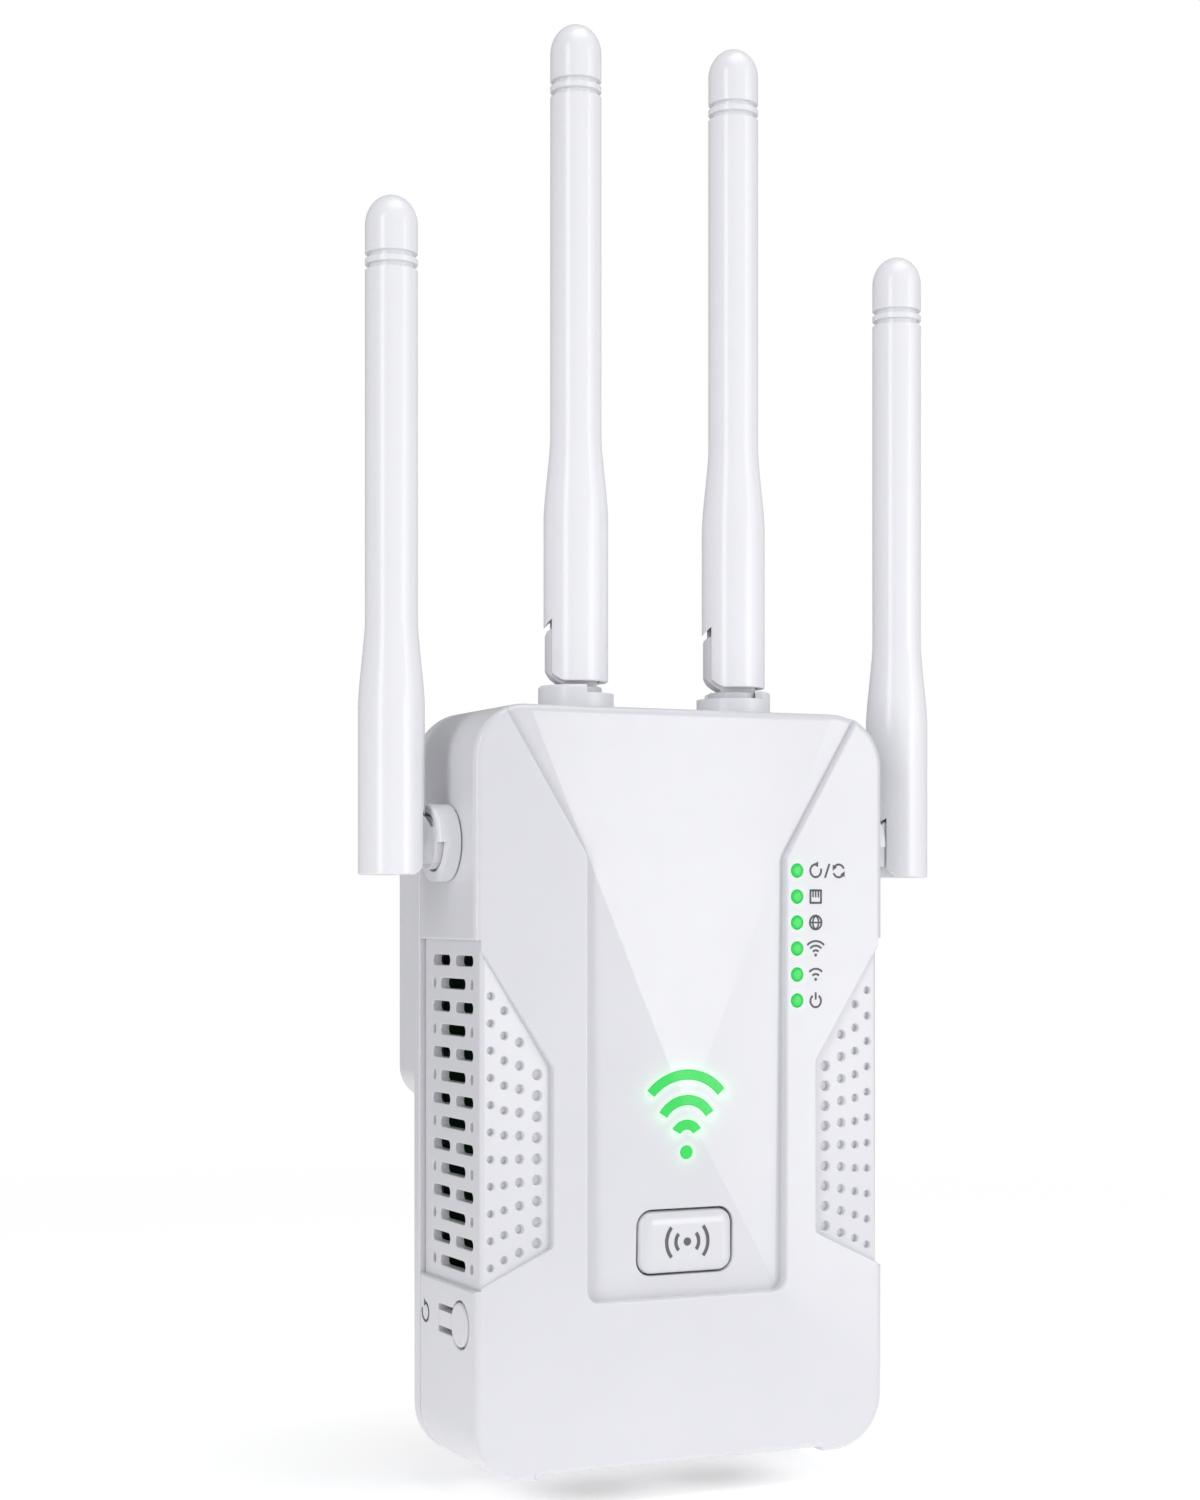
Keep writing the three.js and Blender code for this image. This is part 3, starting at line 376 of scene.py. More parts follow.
column_facets = [upper_facet, foot_facet] + [mirrored(side_facet, side) for side in (-1, 1)]


def face_depth(x, z):
    """How far the moulded face lies behind its foremost plane outside the column."""
    return max(facet(x, z) for facet in outer_facets)


def column_depth(x, z):
    """The same on the column's four facets."""
    return max(facet(x, z) for facet in column_facets)


def in_front(facet):
    """Everything in front of one facet's plane, well past the body on every side."""
    wide, tall, ahead = 90, 160, 60
    far = [(-wide, -tall), (wide, -tall), (wide, tall), (-wide, tall)]
    foremost = [(x, front_y - ahead, z) for x, z in far]
    return ring_solid([foremost, [(x, front_y + facet(x, z), z) for x, z in far]])


def on_face(u, v, sink):
    """The point sink below the face at u, v; the functions like it that follow do the same elsewhere."""
    return (u, front_y + face_depth(u, v) + sink, v)


def in_column(u, v, sink):
    return (u, front_y + column_depth(u, v) + sink, v)


def on_top(u, v, sink):
    return (u, v, top_z - sink)


def at_foot(u, v, sink):
    return (u, v, foot_z + sink)


def at_origin(u, v, sink):
    return (u, sink, v)


notch_half, notch_high, notch_corner = 19.8, 0.6, 0.3
corner_steps = 18
body_corners = [
    (-half_width, foot_z, corner_radius),
    (-notch_half, foot_z, notch_corner), (-notch_half, foot_z + notch_high, notch_corner),
    (notch_half, foot_z + notch_high, notch_corner), (notch_half, foot_z, notch_corner),
    (half_width, foot_z, corner_radius), (half_width, top_z, corner_radius),
    (-half_width, top_z, corner_radius),
]


def body_outline(grow=0.0, spacing=1.2):
    """The body's outline from the front, with its straight stretches divided evenly."""
    bare, points = rounded(body_corners, grow, corner_steps), []
    model = rounded(body_corners, 0, corner_steps)
    for index, point in enumerate(bare):
        following = bare[(index + 1) % len(bare)]
        stretch = (model[(index + 1) % len(bare)] - model[index]).length
        parts = max(1, round(stretch / spacing))
        points += [point.lerp(following, part / parts) for part in range(parts)]
    return points


def rim_cutter():
    """Rolls the edge between the face and the sides, wherever the face lies."""
    edge, inset = body_outline(), body_outline(-rim_radius)
    rolls, ahead, past, rings = 6, front_y - 5, 3, []
    funnel_wall = [(column_half, column_top, 0), (funnel_half, top_z, 0), (column_half, column_top + 1, 1)]
    within_funnel = plane_through(*funnel_wall)
    for (x, z), (inner_x, inner_z) in zip(edge, inset):
        inside = z > column_top and within_funnel(abs(inner_x), inner_z) > 0
        depth = column_depth(inner_x, inner_z) if inside else face_depth(inner_x, inner_z)
        level = front_y + depth
        out = Vector((x - inner_x, z - inner_z))
        section = [(inner_x, ahead, inner_z)]
        for roll in range(rolls + 1):
            angle = math.pi / 2 * roll / rolls
            across, sink = out * math.sin(angle), rim_radius * (1 - math.cos(angle))
            section.append((inner_x + across.x, level + sink, inner_z + across.y))
        section.append((x + past * out.x, level + rim_radius, z + past * out.y))
        section.append((x + past * out.x, ahead, z + past * out.y))
        rings.append(section)
    return ring_solid(rings, closed=True)


def lofted(corners, levels, steps=10):
    """A solid along Y through (y, inset) levels of one outline."""
    return ring_solid([[(x, y, z) for x, z in rounded(corners, -inset, steps)] for y, inset in levels])


def places_of(beginning):
    """The x and z of the middle of each CAD node whose name begins so."""
    boxes = [span(node) for node in sorted(frame["nodes"]) if node.startswith(beginning)]
    return [((low.x + high.x) / 2, (low.z + high.z) / 2) for low, high in boxes]


boss_radius, boss_drop, thread_bore, thread_depth = 3.0, 0.4, 1.35, 9.0


def tub():
    """The outside with the sunk column, the plain inside and the screw bosses."""
    eased, past = 0.2, 3
    outline, lip = body_outline(), body_outline(-eased)
    solid = ring_solid([
        [(x, front_y, z) for x, z in outline], [(x, shell_rear - eased, z) for x, z in outline],
        [(x, shell_rear, z) for x, z in lip],
    ])
    # The notch stops short of the shell's rear edge.
    strip_half = notch_half + 0.5
    strip_low = (-strip_half, shell_rear - shell_wall, foot_z + 0.01)
    solid = carved(solid, block(strip_low, (strip_half, shell_rear - 0.01, foot_z + 1)), keep="UNION")
    solid = carved(solid, *[in_front(facet) for facet in outer_facets])
    spread = (funnel_half - column_half) * (top_z + past - column_top) / (top_z - column_top)
    mouth = column_half + spread
    funnel = [
        (-column_half, column_foot, column_corner), (column_half, column_foot, column_corner),
        (column_half, column_top, 1.0), (mouth, top_z + past, 0),
        (-mouth, top_z + past, 0), (-column_half, column_top, 1.0),
    ]
    around = block((-60, front_y - 2, -120), (60, front_y + 20, 120))
    pyramid = carved(around, *[in_front(facet) for facet in column_facets])
    column = carved(well(funnel, on_face, depth=6, lip=column_lip, taper=wall_draft), pyramid)
    solid = carved(solid, column, rim_cutter())
    inside = rectangle(
        2 * (half_width - shell_wall), top_z - foot_z - 2 * shell_wall, corner_radius - shell_wall,
        0, (top_z + foot_z) / 2,
    )
    solid = carved(solid, lofted(inside, [(front_y + face_wall, 0), (shell_rear + 1, 0)], 6))
    for x, z in places_of("cover_screw"):
        stand = [(front_y + face_wall - 0.5, 0), (shell_rear - boss_drop, 0)]
        boss = lofted(disc(boss_radius, x, z), stand, 6)
        bore = lofted(disc(thread_bore, x, z), [(shell_rear - thread_depth, 0), (shell_rear + 1, 0)], 6)
        solid = carved(carved(solid, boss, keep="UNION"), bore)
    return solid


window_low, window_high, window_depth = foot_z + 23.7, top_z - 29, 0.8
waist = half_width - window_depth
grille_inner, grille_corner = 18.5, 0.8
slant_top, slant_foot = 15.7, 4.8
grille_depths = (1.15, 0.95)
edge_roll = 0.55


def grille_level(x):
    """Depth of the tilted grille panel."""
    share = (abs(x) - grille_inner) / (half_width - grille_inner)
    return grille_depths[0] + (grille_depths[1] - grille_depths[0]) * share


def grille_pocket(side):
    """The cutter of one front grille panel, rounded over where it meets the waist."""
    run, reach = half_width - grille_inner, 3
    corners = [
        (grille_inner, window_low + slant_foot, grille_corner),
        (half_width + reach, window_low - slant_foot / run * reach, 0),
        (half_width + reach, window_high + slant_top / run * reach, 0),
        (grille_inner, window_high - slant_top, grille_corner),
    ]
    if side < 0:
        corners = [(-u, v, radius) for u, v, radius in reversed(corners)]
    frame_cut = well(corners, on_face, depth=8, lip=0.22, taper=0.1)
    level = front_y + grille_level(waist)
    start, end, ahead = grille_inner - reach, half_width + 2 * reach, front_y - 9
    section = [(start, ahead), (start, front_y + grille_level(start))]
    section += [(waist - along, level + down) for along, down in quarter_round(edge_roll, 5)]
    section += [(waist, front_y + 5), (end, front_y + 5), (end, ahead)]
    front_of_panel = ring_solid([
        [(side * x, y, z) for x, y in section] for z in (window_low - 9, window_high + 9)
    ])
    return carved(frame_cut, front_of_panel, keep="INTERSECT")


def on_waist(side):
    return lambda u, v, sink: (side * (waist - sink), u, v)


def on_side(side):
    return lambda u, v, sink: (side * (half_width - sink), u, v)


vent_pitch, vent_rows, vent_high, vent_depth = 2.9, 14, 1.3, 3.5
vent_top = window_high - 2.6
vent_middle = front_y + 10.1
vent_pair, vent_gap, vent_single = 5.9, 1.7, 8.4
oval_wide, oval_high, oval_reach, oval_depth = 1.1, 1.25, 6.2, 1.2


def vents(side):
    """Rows of a pair of open slots and of one longer slot between two blind ovals, in turn."""
    place = on_waist(side)
    pair_offset = (vent_pair + vent_gap) / 2
    slots = [(offset, vent_pair, vent_high, 0, vent_depth) for offset in (-pair_offset, pair_offset)]
    slots += [(0, vent_single, vent_high, 1, vent_depth)]
    slots += [(offset, oval_wide, oval_high, 1, oval_depth) for offset in (-oval_reach, oval_reach)]
    cuts = []
    for offset, wide, high, row, depth in slots:
        outline = rectangle(wide, high, min(wide, high) / 2 - sliver)
        die = well(outline, place, depth, lip=0.16, steps=4)
        first = (0, vent_middle + offset, vent_top - row * vent_pitch)
        cuts.append(stamped(die, vent_rows // 2, first, (0, 0, -2 * vent_pitch)))
    return cuts


# Each column's x, its number of dots, their size, and the heights of its first and last.
grille_columns = [
    (20.3, 9, 1.3, -14.9, -35.6), (22.65, 10, 1.15, -10.9, -36.6), (24.7, 11, 1.0, -7.0, -37.4),
    (26.5, 11, 0.95, -5.2, -38.3),
]


def dimples(side):
    """The grille's blind dots, column by column, each a shallow well with a rolled lip."""
    cuts = []
    for x, count, size, first, last in grille_columns:
        die = well(disc(size / 2), at_origin, depth=0.6, lip=0.14, taper=0.12, steps=4)
        start = (side * x, front_y + grille_level(x), first)
        cuts.append(stamped(die, count, start, (0, 0, (last - first) / (count - 1))))
    return cuts


antenna_y = front_y + 9.5
top_antenna_x = 11.3
side_antenna_z = top_z - 17
neck_hole = 4.4
reset_y, reset_z = front_y + 5.7, foot_z + 19
reset_radius = 2.75
reset_arm_end, reset_arm_half, reset_slot = front_y + 13, 0.975, 0.75
button_z = foot_z + 28.3
button_corners = rectangle(13.5, 8.3, 2.0, 0, button_z)
signal_z = foot_z + 39.5
signal_dot, stroke = 0.75, 1.05
# Each bow's centre above the dot, its outer radius, and its half spread in degrees.
signal_arcs = [(1.8, 2.2, 57), (2.75, 4.35, 57), (3.3, 7.0, 49)]
status_x, status_z = column_half + 1.7, top_z - 20.3
status_pitch, status_count, status_radius = 3.33, 6, 0.8
hole_gap, jack_gap, tab_gap = 0.12, 0.3, 0.25


def arc_stroke(lift, outer, spread, grow=0.0):
    """One bow of the signal mark, as an outline with square ends."""
    steps, centre = 16, signal_z + lift
    half = math.radians(spread) + grow / outer
    angles = [math.pi / 2 - half + 2 * half * step / steps for step in range(steps + 1)]
    above, below = [
        [(radius * math.cos(angle), centre + radius * math.sin(angle)) for angle in angles]
        for radius in (outer + grow, outer - stroke - grow)
    ]
    return above + below[::-1]


def arc_cutters():
    """The signal mark's bows, cut through the face with a fine lip."""
    cuts = []
    for lift, outer, spread in signal_arcs:
        rings = []
        for grow, sink in ((0.22, -4), (0.22, 0), (0.13, 0.03), (0.08, 0.14), (0.08, 6)):
            rings.append([in_column(x, z, sink) for x, z in arc_stroke(lift, outer, spread, grow)])
        cuts.append(ring_solid(rings))
    return cuts


def shell_mesh():
    """The tub with every window, slot, dot and hole cut."""
    tools, through_wall, through_face = [], 3, 6
    for side in (-1, 1):
        sweep = rectangle(40, window_high - window_low, 0.02, vent_middle, (window_high + window_low) / 2)
        window = well(sweep, on_side(side), window_depth, lip=0.3)
        tools += [window, grille_pocket(side), *vents(side), *dimples(side)]
        top_neck = disc(neck_hole, side * top_antenna_x, antenna_y)
        tools.append(well(top_neck, on_top, through_wall, lip=0.2, steps=12))
        side_neck = disc(neck_hole, antenna_y, side_antenna_z)
        tools.append(well(side_neck, on_side(side), through_wall, lip=0.2, steps=12))
        low, high = span("lan_jack" if side > 0 else "wan_jack")
        centre = (low + high) / 2
        jack = high - low
        mouth = rectangle(jack.x + 2 * jack_gap, jack.y + 2 * jack_gap, 0.4, centre.x, centre.y)
        tools.append(well(mouth, at_foot, through_wall, lip=0.2))
    tools.append(well(button_corners, in_column, through_face, lip=0.22))
    tools.append(well(disc(signal_dot + hole_gap, 0, signal_z), in_column, through_face, lip=0.1, steps=8))
    tools += arc_cutters()
    die = well(disc(status_radius + hole_gap), at_origin, through_face, lip=0.1)
    tools.append(stamped(die, status_count, on_face(status_x, status_z, 0), (0, 0, -status_pitch)))
    pad = disc(reset_radius + tab_gap, reset_y, reset_z)
    tools.append(well(pad, on_side(-1), through_wall, lip=0.18, steps=12))
    slots_high, slots_mid = 2 * (reset_arm_half + reset_slot), (reset_y + reset_arm_end) / 2
    slots = rectangle(reset_arm_end - reset_y, slots_high, 0.3, slots_mid, reset_z)
    tools.append(well(slots, on_side(-1), through_wall, lip=0.18))
    solid = tub()
    for tool in tools:
        solid = carved(solid, tool)
    return solid


def settled(mesh, broad):
    """Shades flats of more than broad square millimetres flat, and runs small rounds smoothly into them."""
    weld, same_plane, smooth_bend = 1e-4, 0.999995, 0.72
    work = bmesh.new()
    work.from_mesh(mesh)
    bmesh.ops.remove_doubles(work, verts=work.verts, dist=weld)
    bmesh.ops.dissolve_degenerate(work, edges=work.edges, dist=weld)
    work.normal_update()
    bmesh.ops.triangulate(work, faces=[face for face in work.faces if len(face.verts) > 4])
    work.normal_update()
    work.to_mesh(mesh)
    work.faces.ensure_lookup_table()
    patch = [-1] * len(work.faces)
    areas = []
    for face in work.faces:
        if patch[face.index] >= 0:
            continue
        patch[face.index], area, waiting = len(areas), 0.0, [face]
        while waiting:
            here = waiting.pop()
            area += here.calc_area()
            for edge in here.edges:
                for beside in edge.link_faces:
                    if patch[beside.index] < 0 and beside.normal.dot(here.normal) > same_plane:
                        patch[beside.index] = len(areas)
                        waiting.append(beside)
        areas.append(area)
    normals = []
    for face in work.faces:
        flat = areas[patch[face.index]] > broad
        for corner in face.loops:
            if flat:
                normals.append(face.normal.copy())
                continue
            around = corner.vert.link_faces
            near = [other for other in around if other.normal.dot(face.normal) > smooth_bend]
            flats = [other for other in near if areas[patch[other.index]] > broad]
            total = Vector()
            for other in flats or near:
                total += other.normal * (1 if flats else other.calc_area() + 1e-6)
            normals.append(total.normalized() if total.length > 1e-9 else face.normal.copy())
    work.free()
    mesh.shade_smooth()
    mesh.normals_split_custom_set(normals)
    return mesh


def fitted(name, mesh, body, material, broad):
    """A finished piece: shaded, brought from millimetres to metres, painted and carried by its body."""
    settled(mesh, broad)
    mesh.transform(Matrix.Scale(MM, 4))
    mesh.name = name
    mesh.materials.clear()
    mesh.materials.append(material)
    piece = bpy.data.objects.new(name, mesh)
    bpy.context.scene.collection.objects.link(piece)
    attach(piece, body)
    return piece


def texture_space(nodes):
    return nodes.new("ShaderNodeTexCoord").outputs["Object"]


def noise_of(tree, scale, detail=2.0):
    """Noise on the piece's own coordinates, at scale per metre."""
    noise = tree.nodes.new("ShaderNodeTexNoise")
    noise.inputs["Scale"].default_value = scale
    noise.inputs["Detail"].default_value = detail
    tree.links.new(texture_space(tree.nodes), noise.inputs["Vector"])
    return noise.outputs["Fac"]


def ranged(tree, value, low, high):
    """The middle half of noise's range, where most of it lies, brought to between low and high."""
    change = tree.nodes.new("ShaderNodeMapRange")
    change.inputs["From Min"].default_value = 0.25
    change.inputs["From Max"].default_value = 0.75
    change.inputs["To Min"].default_value = low
    change.inputs["To Max"].default_value = high
    tree.links.new(value, change.inputs["Value"])
    return change.outputs["Result"]


def finish(name, dark, light, gloss, grain_scale, grain_height, metal=0.0, patch_scale=90.0):
    """A surface whose colour drifts between two tones, with uneven gloss and a fine grain."""
    material = bpy.data.materials.new(name)
    material.use_nodes = True
    tree = material.node_tree
    shader = tree.nodes["Principled BSDF"]
    tones = tree.nodes.new("ShaderNodeMix")
    tones.data_type = "RGBA"
    tones.inputs["A"].default_value = (*dark, 1)
    tones.inputs["B"].default_value = (*light, 1)
    tree.links.new(ranged(tree, noise_of(tree, patch_scale, 3), 0, 1), tones.inputs["Factor"])
    tree.links.new(tones.outputs["Result"], shader.inputs["Base Color"])
    tree.links.new(ranged(tree, noise_of(tree, patch_scale * 6), *gloss), shader.inputs["Roughness"])
    bump = tree.nodes.new("ShaderNodeBump")
    bump.inputs["Strength"].default_value = 0.35
    bump.inputs["Distance"].default_value = grain_height
    tree.links.new(noise_of(tree, grain_scale), bump.inputs["Height"])
    tree.links.new(bump.outputs["Normal"], shader.inputs["Normal"])
    shader.inputs["Metallic"].default_value = metal
    return material


def white_abs(name):
    """The cool-white satin plastic of the casing and its buttons."""
    return finish(name, (0.675, 0.675, 0.71), (0.69, 0.69, 0.725), (0.17, 0.22), 5200, 2e-6)


white_shell = white_abs("white_shell")
shell = fitted("front_shell_moulding", shell_mesh(), "body", white_shell, 6.0)
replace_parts(shell, "front_shell")

# ---------------------------------------------------------------- rear cover, screws and blades
# A flat moulded plate that closes the tub, with the plug block standing on it. Four screws in counterbores
# hold it, and two brass blades are pressed in from inside and stand on their shoulders.
plate_front, plate_rear, plate_edge = shell_rear + 0.3, shell_rear + 2.3, 0.3
plug_width, plug_high, plug_corner, plug_roll = 51.8, 40.0, 4.5, 0.9
plug_wall, plug_floor = 2.0, 2.2
screw_hole, counterbore, counterbore_depth = 1.55, 2.9, 1.2
blade_slot_width, blade_slot_high = 1.8, 6.65
label_width, label_high, label_depth = 38.0, 24.0, 0.25
label_z = (foot_z - plug_high / 2) / 2 - 1


def on_plate(u, v, sink):
    return (u, plate_rear - sink, v)


def rolled(start, end, radius, rolls=5):
    """(y, inset) levels that round a face's edge, from its full outline at start to its rim at end."""
    way = math.copysign(1, end - start)
    return [(end - way * along, down) for along, down in quarter_round(radius, rolls)]


def cover_mesh():
    """The plate with the plug block joined on, then everything cut from them."""
    outline = rectangle(2 * half_width, top_z - foot_z, corner_radius, 0, (top_z + foot_z) / 2)
    broken = 0.15
    levels = [(plate_front, broken), (plate_front + broken, 0)]
    levels += rolled(plate_front, plate_rear, plate_edge)
    plug = rectangle(plug_width, plug_high, plug_corner)
    plug_block = lofted(plug, [(plate_front + 0.5, 0)] + rolled(plate_rear, 0, plug_roll), 12)
    solid = carved(lofted(outline, levels, corner_steps), plug_block, keep="UNION")
    hollow = rectangle(plug_width - 2 * plug_wall, plug_high - 2 * plug_wall, plug_corner - plug_wall)
    solid = carved(solid, lofted(hollow, [(plate_front - 1, 0), (-plug_floor, 0)]))
    for x, z in places_of("cover_screw"):
        hole = lofted(disc(screw_hole, x, z), [(plate_front - 1, 0), (plate_rear + 1, 0)])
        seat = well(disc(counterbore, x, z), on_plate, counterbore_depth, lip=0.15, steps=12)
        solid = carved(solid, hole, seat)
    for x, z in places_of("plug_blade"):
        slot = rectangle(blade_slot_width, blade_slot_high, 0.3, x, z)
        solid = carved(solid, well(slot, lambda u, v, sink: (u, -sink, v), depth=4, lip=0.2))
    panel = rectangle(label_width, label_high, 2, 0, label_z)
    return carved(solid, well(panel, on_plate, label_depth, lip=0.15))


def finely(node, suffix, material, ease=0.12, broad=2.0):
    """A fine copy of a simple CAD node in its place, with its sharp edges eased."""
    flat_bend, sharp_bend = math.radians(0.5), math.radians(40)
    work = bmesh.new()
    work.from_mesh(frame["nodes"][node].data)
    bmesh.ops.scale(work, vec=(1 / MM,) * 3, verts=work.verts)
    bmesh.ops.remove_doubles(work, verts=work.verts, dist=2e-3)
    bmesh.ops.dissolve_limit(work, angle_limit=flat_bend, verts=work.verts, edges=work.edges)
    sharp = [edge for edge in work.edges if edge.is_manifold and edge.calc_face_angle() > sharp_bend]
    if ease:
        bmesh.ops.bevel(
            work, geom=sharp, offset=ease, segments=2, profile=0.5, affect="EDGES", clamp_overlap=True,
        )
    mesh = bpy.data.meshes.new(node)
    work.to_mesh(mesh)
    work.free()
    piece = fitted(f"{node}_{suffix}", mesh, frame["nodes"][node]["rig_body"], material, broad)
    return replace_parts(piece, node)


cover = fitted("rear_cover_moulding", cover_mesh(), "body", white_shell, 9.0)
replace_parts(cover, "rear_cover")

label_foil = finish("label_foil", (0.70, 0.70, 0.73), (0.76, 0.76, 0.79), (0.22, 0.30), 900, 3e-6)
label_outline = rectangle(label_width - 1, label_high - 1, 1.6, 0, label_z)
label_floor = plate_rear - label_depth
label = lofted(label_outline, [(label_floor + 0.01, 0), (label_floor + 0.13, 0)])
fitted("rear_label", label, "body", label_foil, 9.0)

zinc = finish("zinc_plate", (0.44, 0.45, 0.47), (0.56, 0.57, 0.60), (0.22, 0.36), 3500, 5e-6, metal=1.0)
brass = finish("brass_strip", (0.62, 0.43, 0.17), (0.72, 0.52, 0.24), (0.20, 0.32), 2600, 4e-6, metal=1.0)
for word in ("left", "right"):
    finely(f"plug_blade_{word}", "stamping", brass, ease=0.15)
    for level in ("top", "bottom"):
        finely(f"cover_screw_{level}_{word}", "turning", zinc, ease=0.1)

# ---------------------------------------------------------------- signal and status lights
# Two clear acrylic light guides behind the face, with their bows and pins standing in the shell's holes and
# their light from small diodes on the board. Round them the plastic gets a painted green glow.
lit_green, painted_glow_green = (0.015, 0.72, 0.085), (0.10, 1.0, 0.22)
guide_y, guide_thick = front_y + face_wall + 0.15, 1.2


def lit_guide(name):
    """Clear green-lit acrylic."""
    material = finish(name, (0.010, 0.24, 0.04), (0.012, 0.27, 0.045), (0.26, 0.32), 4200, 2e-6)
    shader = material.node_tree.nodes["Principled BSDF"]
    shader.inputs["Emission Color"].default_value = (*lit_green, 1)
    shader.inputs["Emission Strength"].default_value = 0.60
    return material


def slab(corners, start, thick):
    """A plate behind start, with its front edge just broken."""
    broken = 0.1
    return lofted(corners, [(start, broken), (start + broken, 0), (start + thick, 0)])


def signal_guide_mesh():
    """The plate behind the face, its four lit shapes and the post towards the diode."""
    plate = slab(rectangle(13, 13.5, 1, 0, signal_z + 4.75), guide_y, guide_thick)
    shapes = [rounded(disc(signal_dot, 0, signal_z), 0, 8)]
    shapes += [arc_stroke(*arc) for arc in signal_arcs]
    for shape in shapes:
        tip = [in_column(x, z, 0.03) for x, z in shape]
        plate = carved(plate, ring_solid([tip, [(x, guide_y + 0.4, z) for x, z in shape]]), keep="UNION")
    post_end = span("signal_light_guide")[1].y
    post = lofted(disc(2, 0, signal_z + 5), [(guide_y + 0.5, 0), (post_end - 0.2, 0), (post_end, 0.2)], 8)
    return carved(plate, post, keep="UNION")


def status_guide_mesh():
    """The strip behind the face with six pins."""
    low, high = span("status_light_guide")
    strip = slab(rectangle(2.8, high.z - low.z, 0.6, status_x, (low.z + high.z) / 2), guide_y, guide_thick)
    tip = on_face(status_x, status_z, 0)
    pin = lofted(disc(status_radius), [(-0.03, 0.25), (0.03, 0.1), (0.15, 0), (high.y - tip[1], 0)], 6)
    return carved(strip, stamped(pin, status_count, tip, (0, 0, -status_pitch)), keep="UNION")


guide_green = lit_guide("lit_guide")
for word, guide in (("signal", signal_guide_mesh()), ("status", status_guide_mesh())):
    guide = fitted(f"{word}_guide", guide, "body", guide_green, 4.0)
    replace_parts(guide, f"{word}_light_guide")


def sums_on(tree):
    """Gives calc(operation, first, second): one sum on two numbers or sockets of this tree."""
    def calc(operation, first, second=0.0):
        node = tree.nodes.new("ShaderNodeMath")
        node.operation = operation
        for entry, value in zip(node.inputs, (first, second)):
            if isinstance(value, (int, float)):
                entry.default_value = value
            else:
                tree.links.new(value, entry)
        return node.outputs[0]
    return calc


def distance_to(calc, across, up):
    """The length of a flat step."""
    return calc("SQRT", calc("ADD", calc("MULTIPLY", across, across), calc("MULTIPLY", up, up)))


def fading(calc, distance, reach):
    """1 at a lit edge and less away from it, over about reach millimetres."""
    near = calc("DIVIDE", calc("MAXIMUM", distance, 0.0), reach)
    return calc("EXPONENT", calc("MULTIPLY", near, -1.0))


def pin_glow(calc, x, z):
    """The painted glow round the nearest of the status pins."""
    reach, strength = 0.42, 0.55
    step = calc("ROUND", calc("DIVIDE", calc("SUBTRACT", status_z, z), status_pitch))
    step = calc("MINIMUM", calc("MAXIMUM", step, 0.0), status_count - 1.0)
    pin_z = calc("SUBTRACT", status_z, calc("MULTIPLY", step, status_pitch))
    gap = distance_to(calc, calc("SUBTRACT", x, status_x), calc("SUBTRACT", z, pin_z))
    return calc("MULTIPLY", fading(calc, calc("SUBTRACT", gap, status_radius), reach), strength)


def bow_glow(calc, x, z, lift, outer, spread):
    """The painted glow round one bow: measured from its curve, or from its nearer end past that end."""
    reach, half, bend = 0.75, math.radians(spread), outer - stroke / 2
    beside, up = calc("ABSOLUTE", x), calc("SUBTRACT", z, signal_z + lift)
    round_gap = calc("ABSOLUTE", calc("SUBTRACT", distance_to(calc, beside, up), bend))
    end_across = calc("SUBTRACT", beside, bend * math.sin(half))
    end_gap = distance_to(calc, end_across, calc("SUBTRACT", up, bend * math.cos(half)))
    turned_out = calc("MULTIPLY", beside, math.cos(half))
    past_end = calc("GREATER_THAN", turned_out, calc("MULTIPLY", up, math.sin(half)))
    along = calc("MULTIPLY", round_gap, calc("SUBTRACT", 1.0, past_end))
    gap = calc("ADD", calc("MULTIPLY", end_gap, past_end), along)
    return fading(calc, calc("SUBTRACT", gap, stroke / 2), reach)


def paint_glow_on(material):
    """A painted green glow on the plastic round the lights, from the distance to each lit shape."""
    dot_reach, strength = 0.6, 0.30
    tree = material.node_tree
    calc = sums_on(tree)
    parts = tree.nodes.new("ShaderNodeSeparateXYZ")
    tree.links.new(texture_space(tree.nodes), parts.inputs[0])
    x, y, z = [calc("DIVIDE", parts.outputs[axis], MM) for axis in "XYZ"]
    gap = calc("SUBTRACT", distance_to(calc, x, calc("SUBTRACT", z, signal_z)), signal_dot)
    glow = calc("MAXIMUM", pin_glow(calc, x, z), fading(calc, gap, dot_reach))
    for arc in signal_arcs:
        glow = calc("MAXIMUM", glow, bow_glow(calc, x, z, *arc))
    outside = calc("LESS_THAN", y, front_y + face_wall - 0.4)
    shader = tree.nodes["Principled BSDF"]
    shader.inputs["Emission Color"].default_value = (*painted_glow_green, 1)
    total = calc("MULTIPLY", calc("MULTIPLY", glow, outside), strength)
    tree.links.new(total, shader.inputs["Emission Strength"])


# The shell's white plastic with a painted green glow round the lights.
glow_painted_shell = white_abs("white_shell_painted_glow")
paint_glow_on(glow_painted_shell)
shell.data.materials[0] = glow_painted_shell

resin = finish("diode_resin", (0.84, 0.74, 0.38), (0.90, 0.82, 0.50), (0.30, 0.45), 4000, 4e-6)
for number in range(1, status_count + 1):
    finely(f"status_led_{number}", "package", resin, ease=0.08)

# ---------------------------------------------------------------- printed marks
# Small plain signs screen printed in dark grey: one beside each status light, one on the button and one
# beside the reset tab.
ink = finish("grey_ink", (0.085, 0.085, 0.095), (0.11, 0.11, 0.12), (0.45, 0.60), 9000, 2e-6)


def bow(u, v, radius, start, end, width):
    """A curved stroke, from start to end degrees."""
    steps = 20
    angles = [math.radians(start + (end - start) * step / steps) for step in range(steps + 1)]
    outer, inner = [
        [(u + edge * math.cos(angle), v + edge * math.sin(angle)) for angle in angles]
        for edge in (radius + width / 2, radius - width / 2)
    ]
    return outer + inner[::-1]


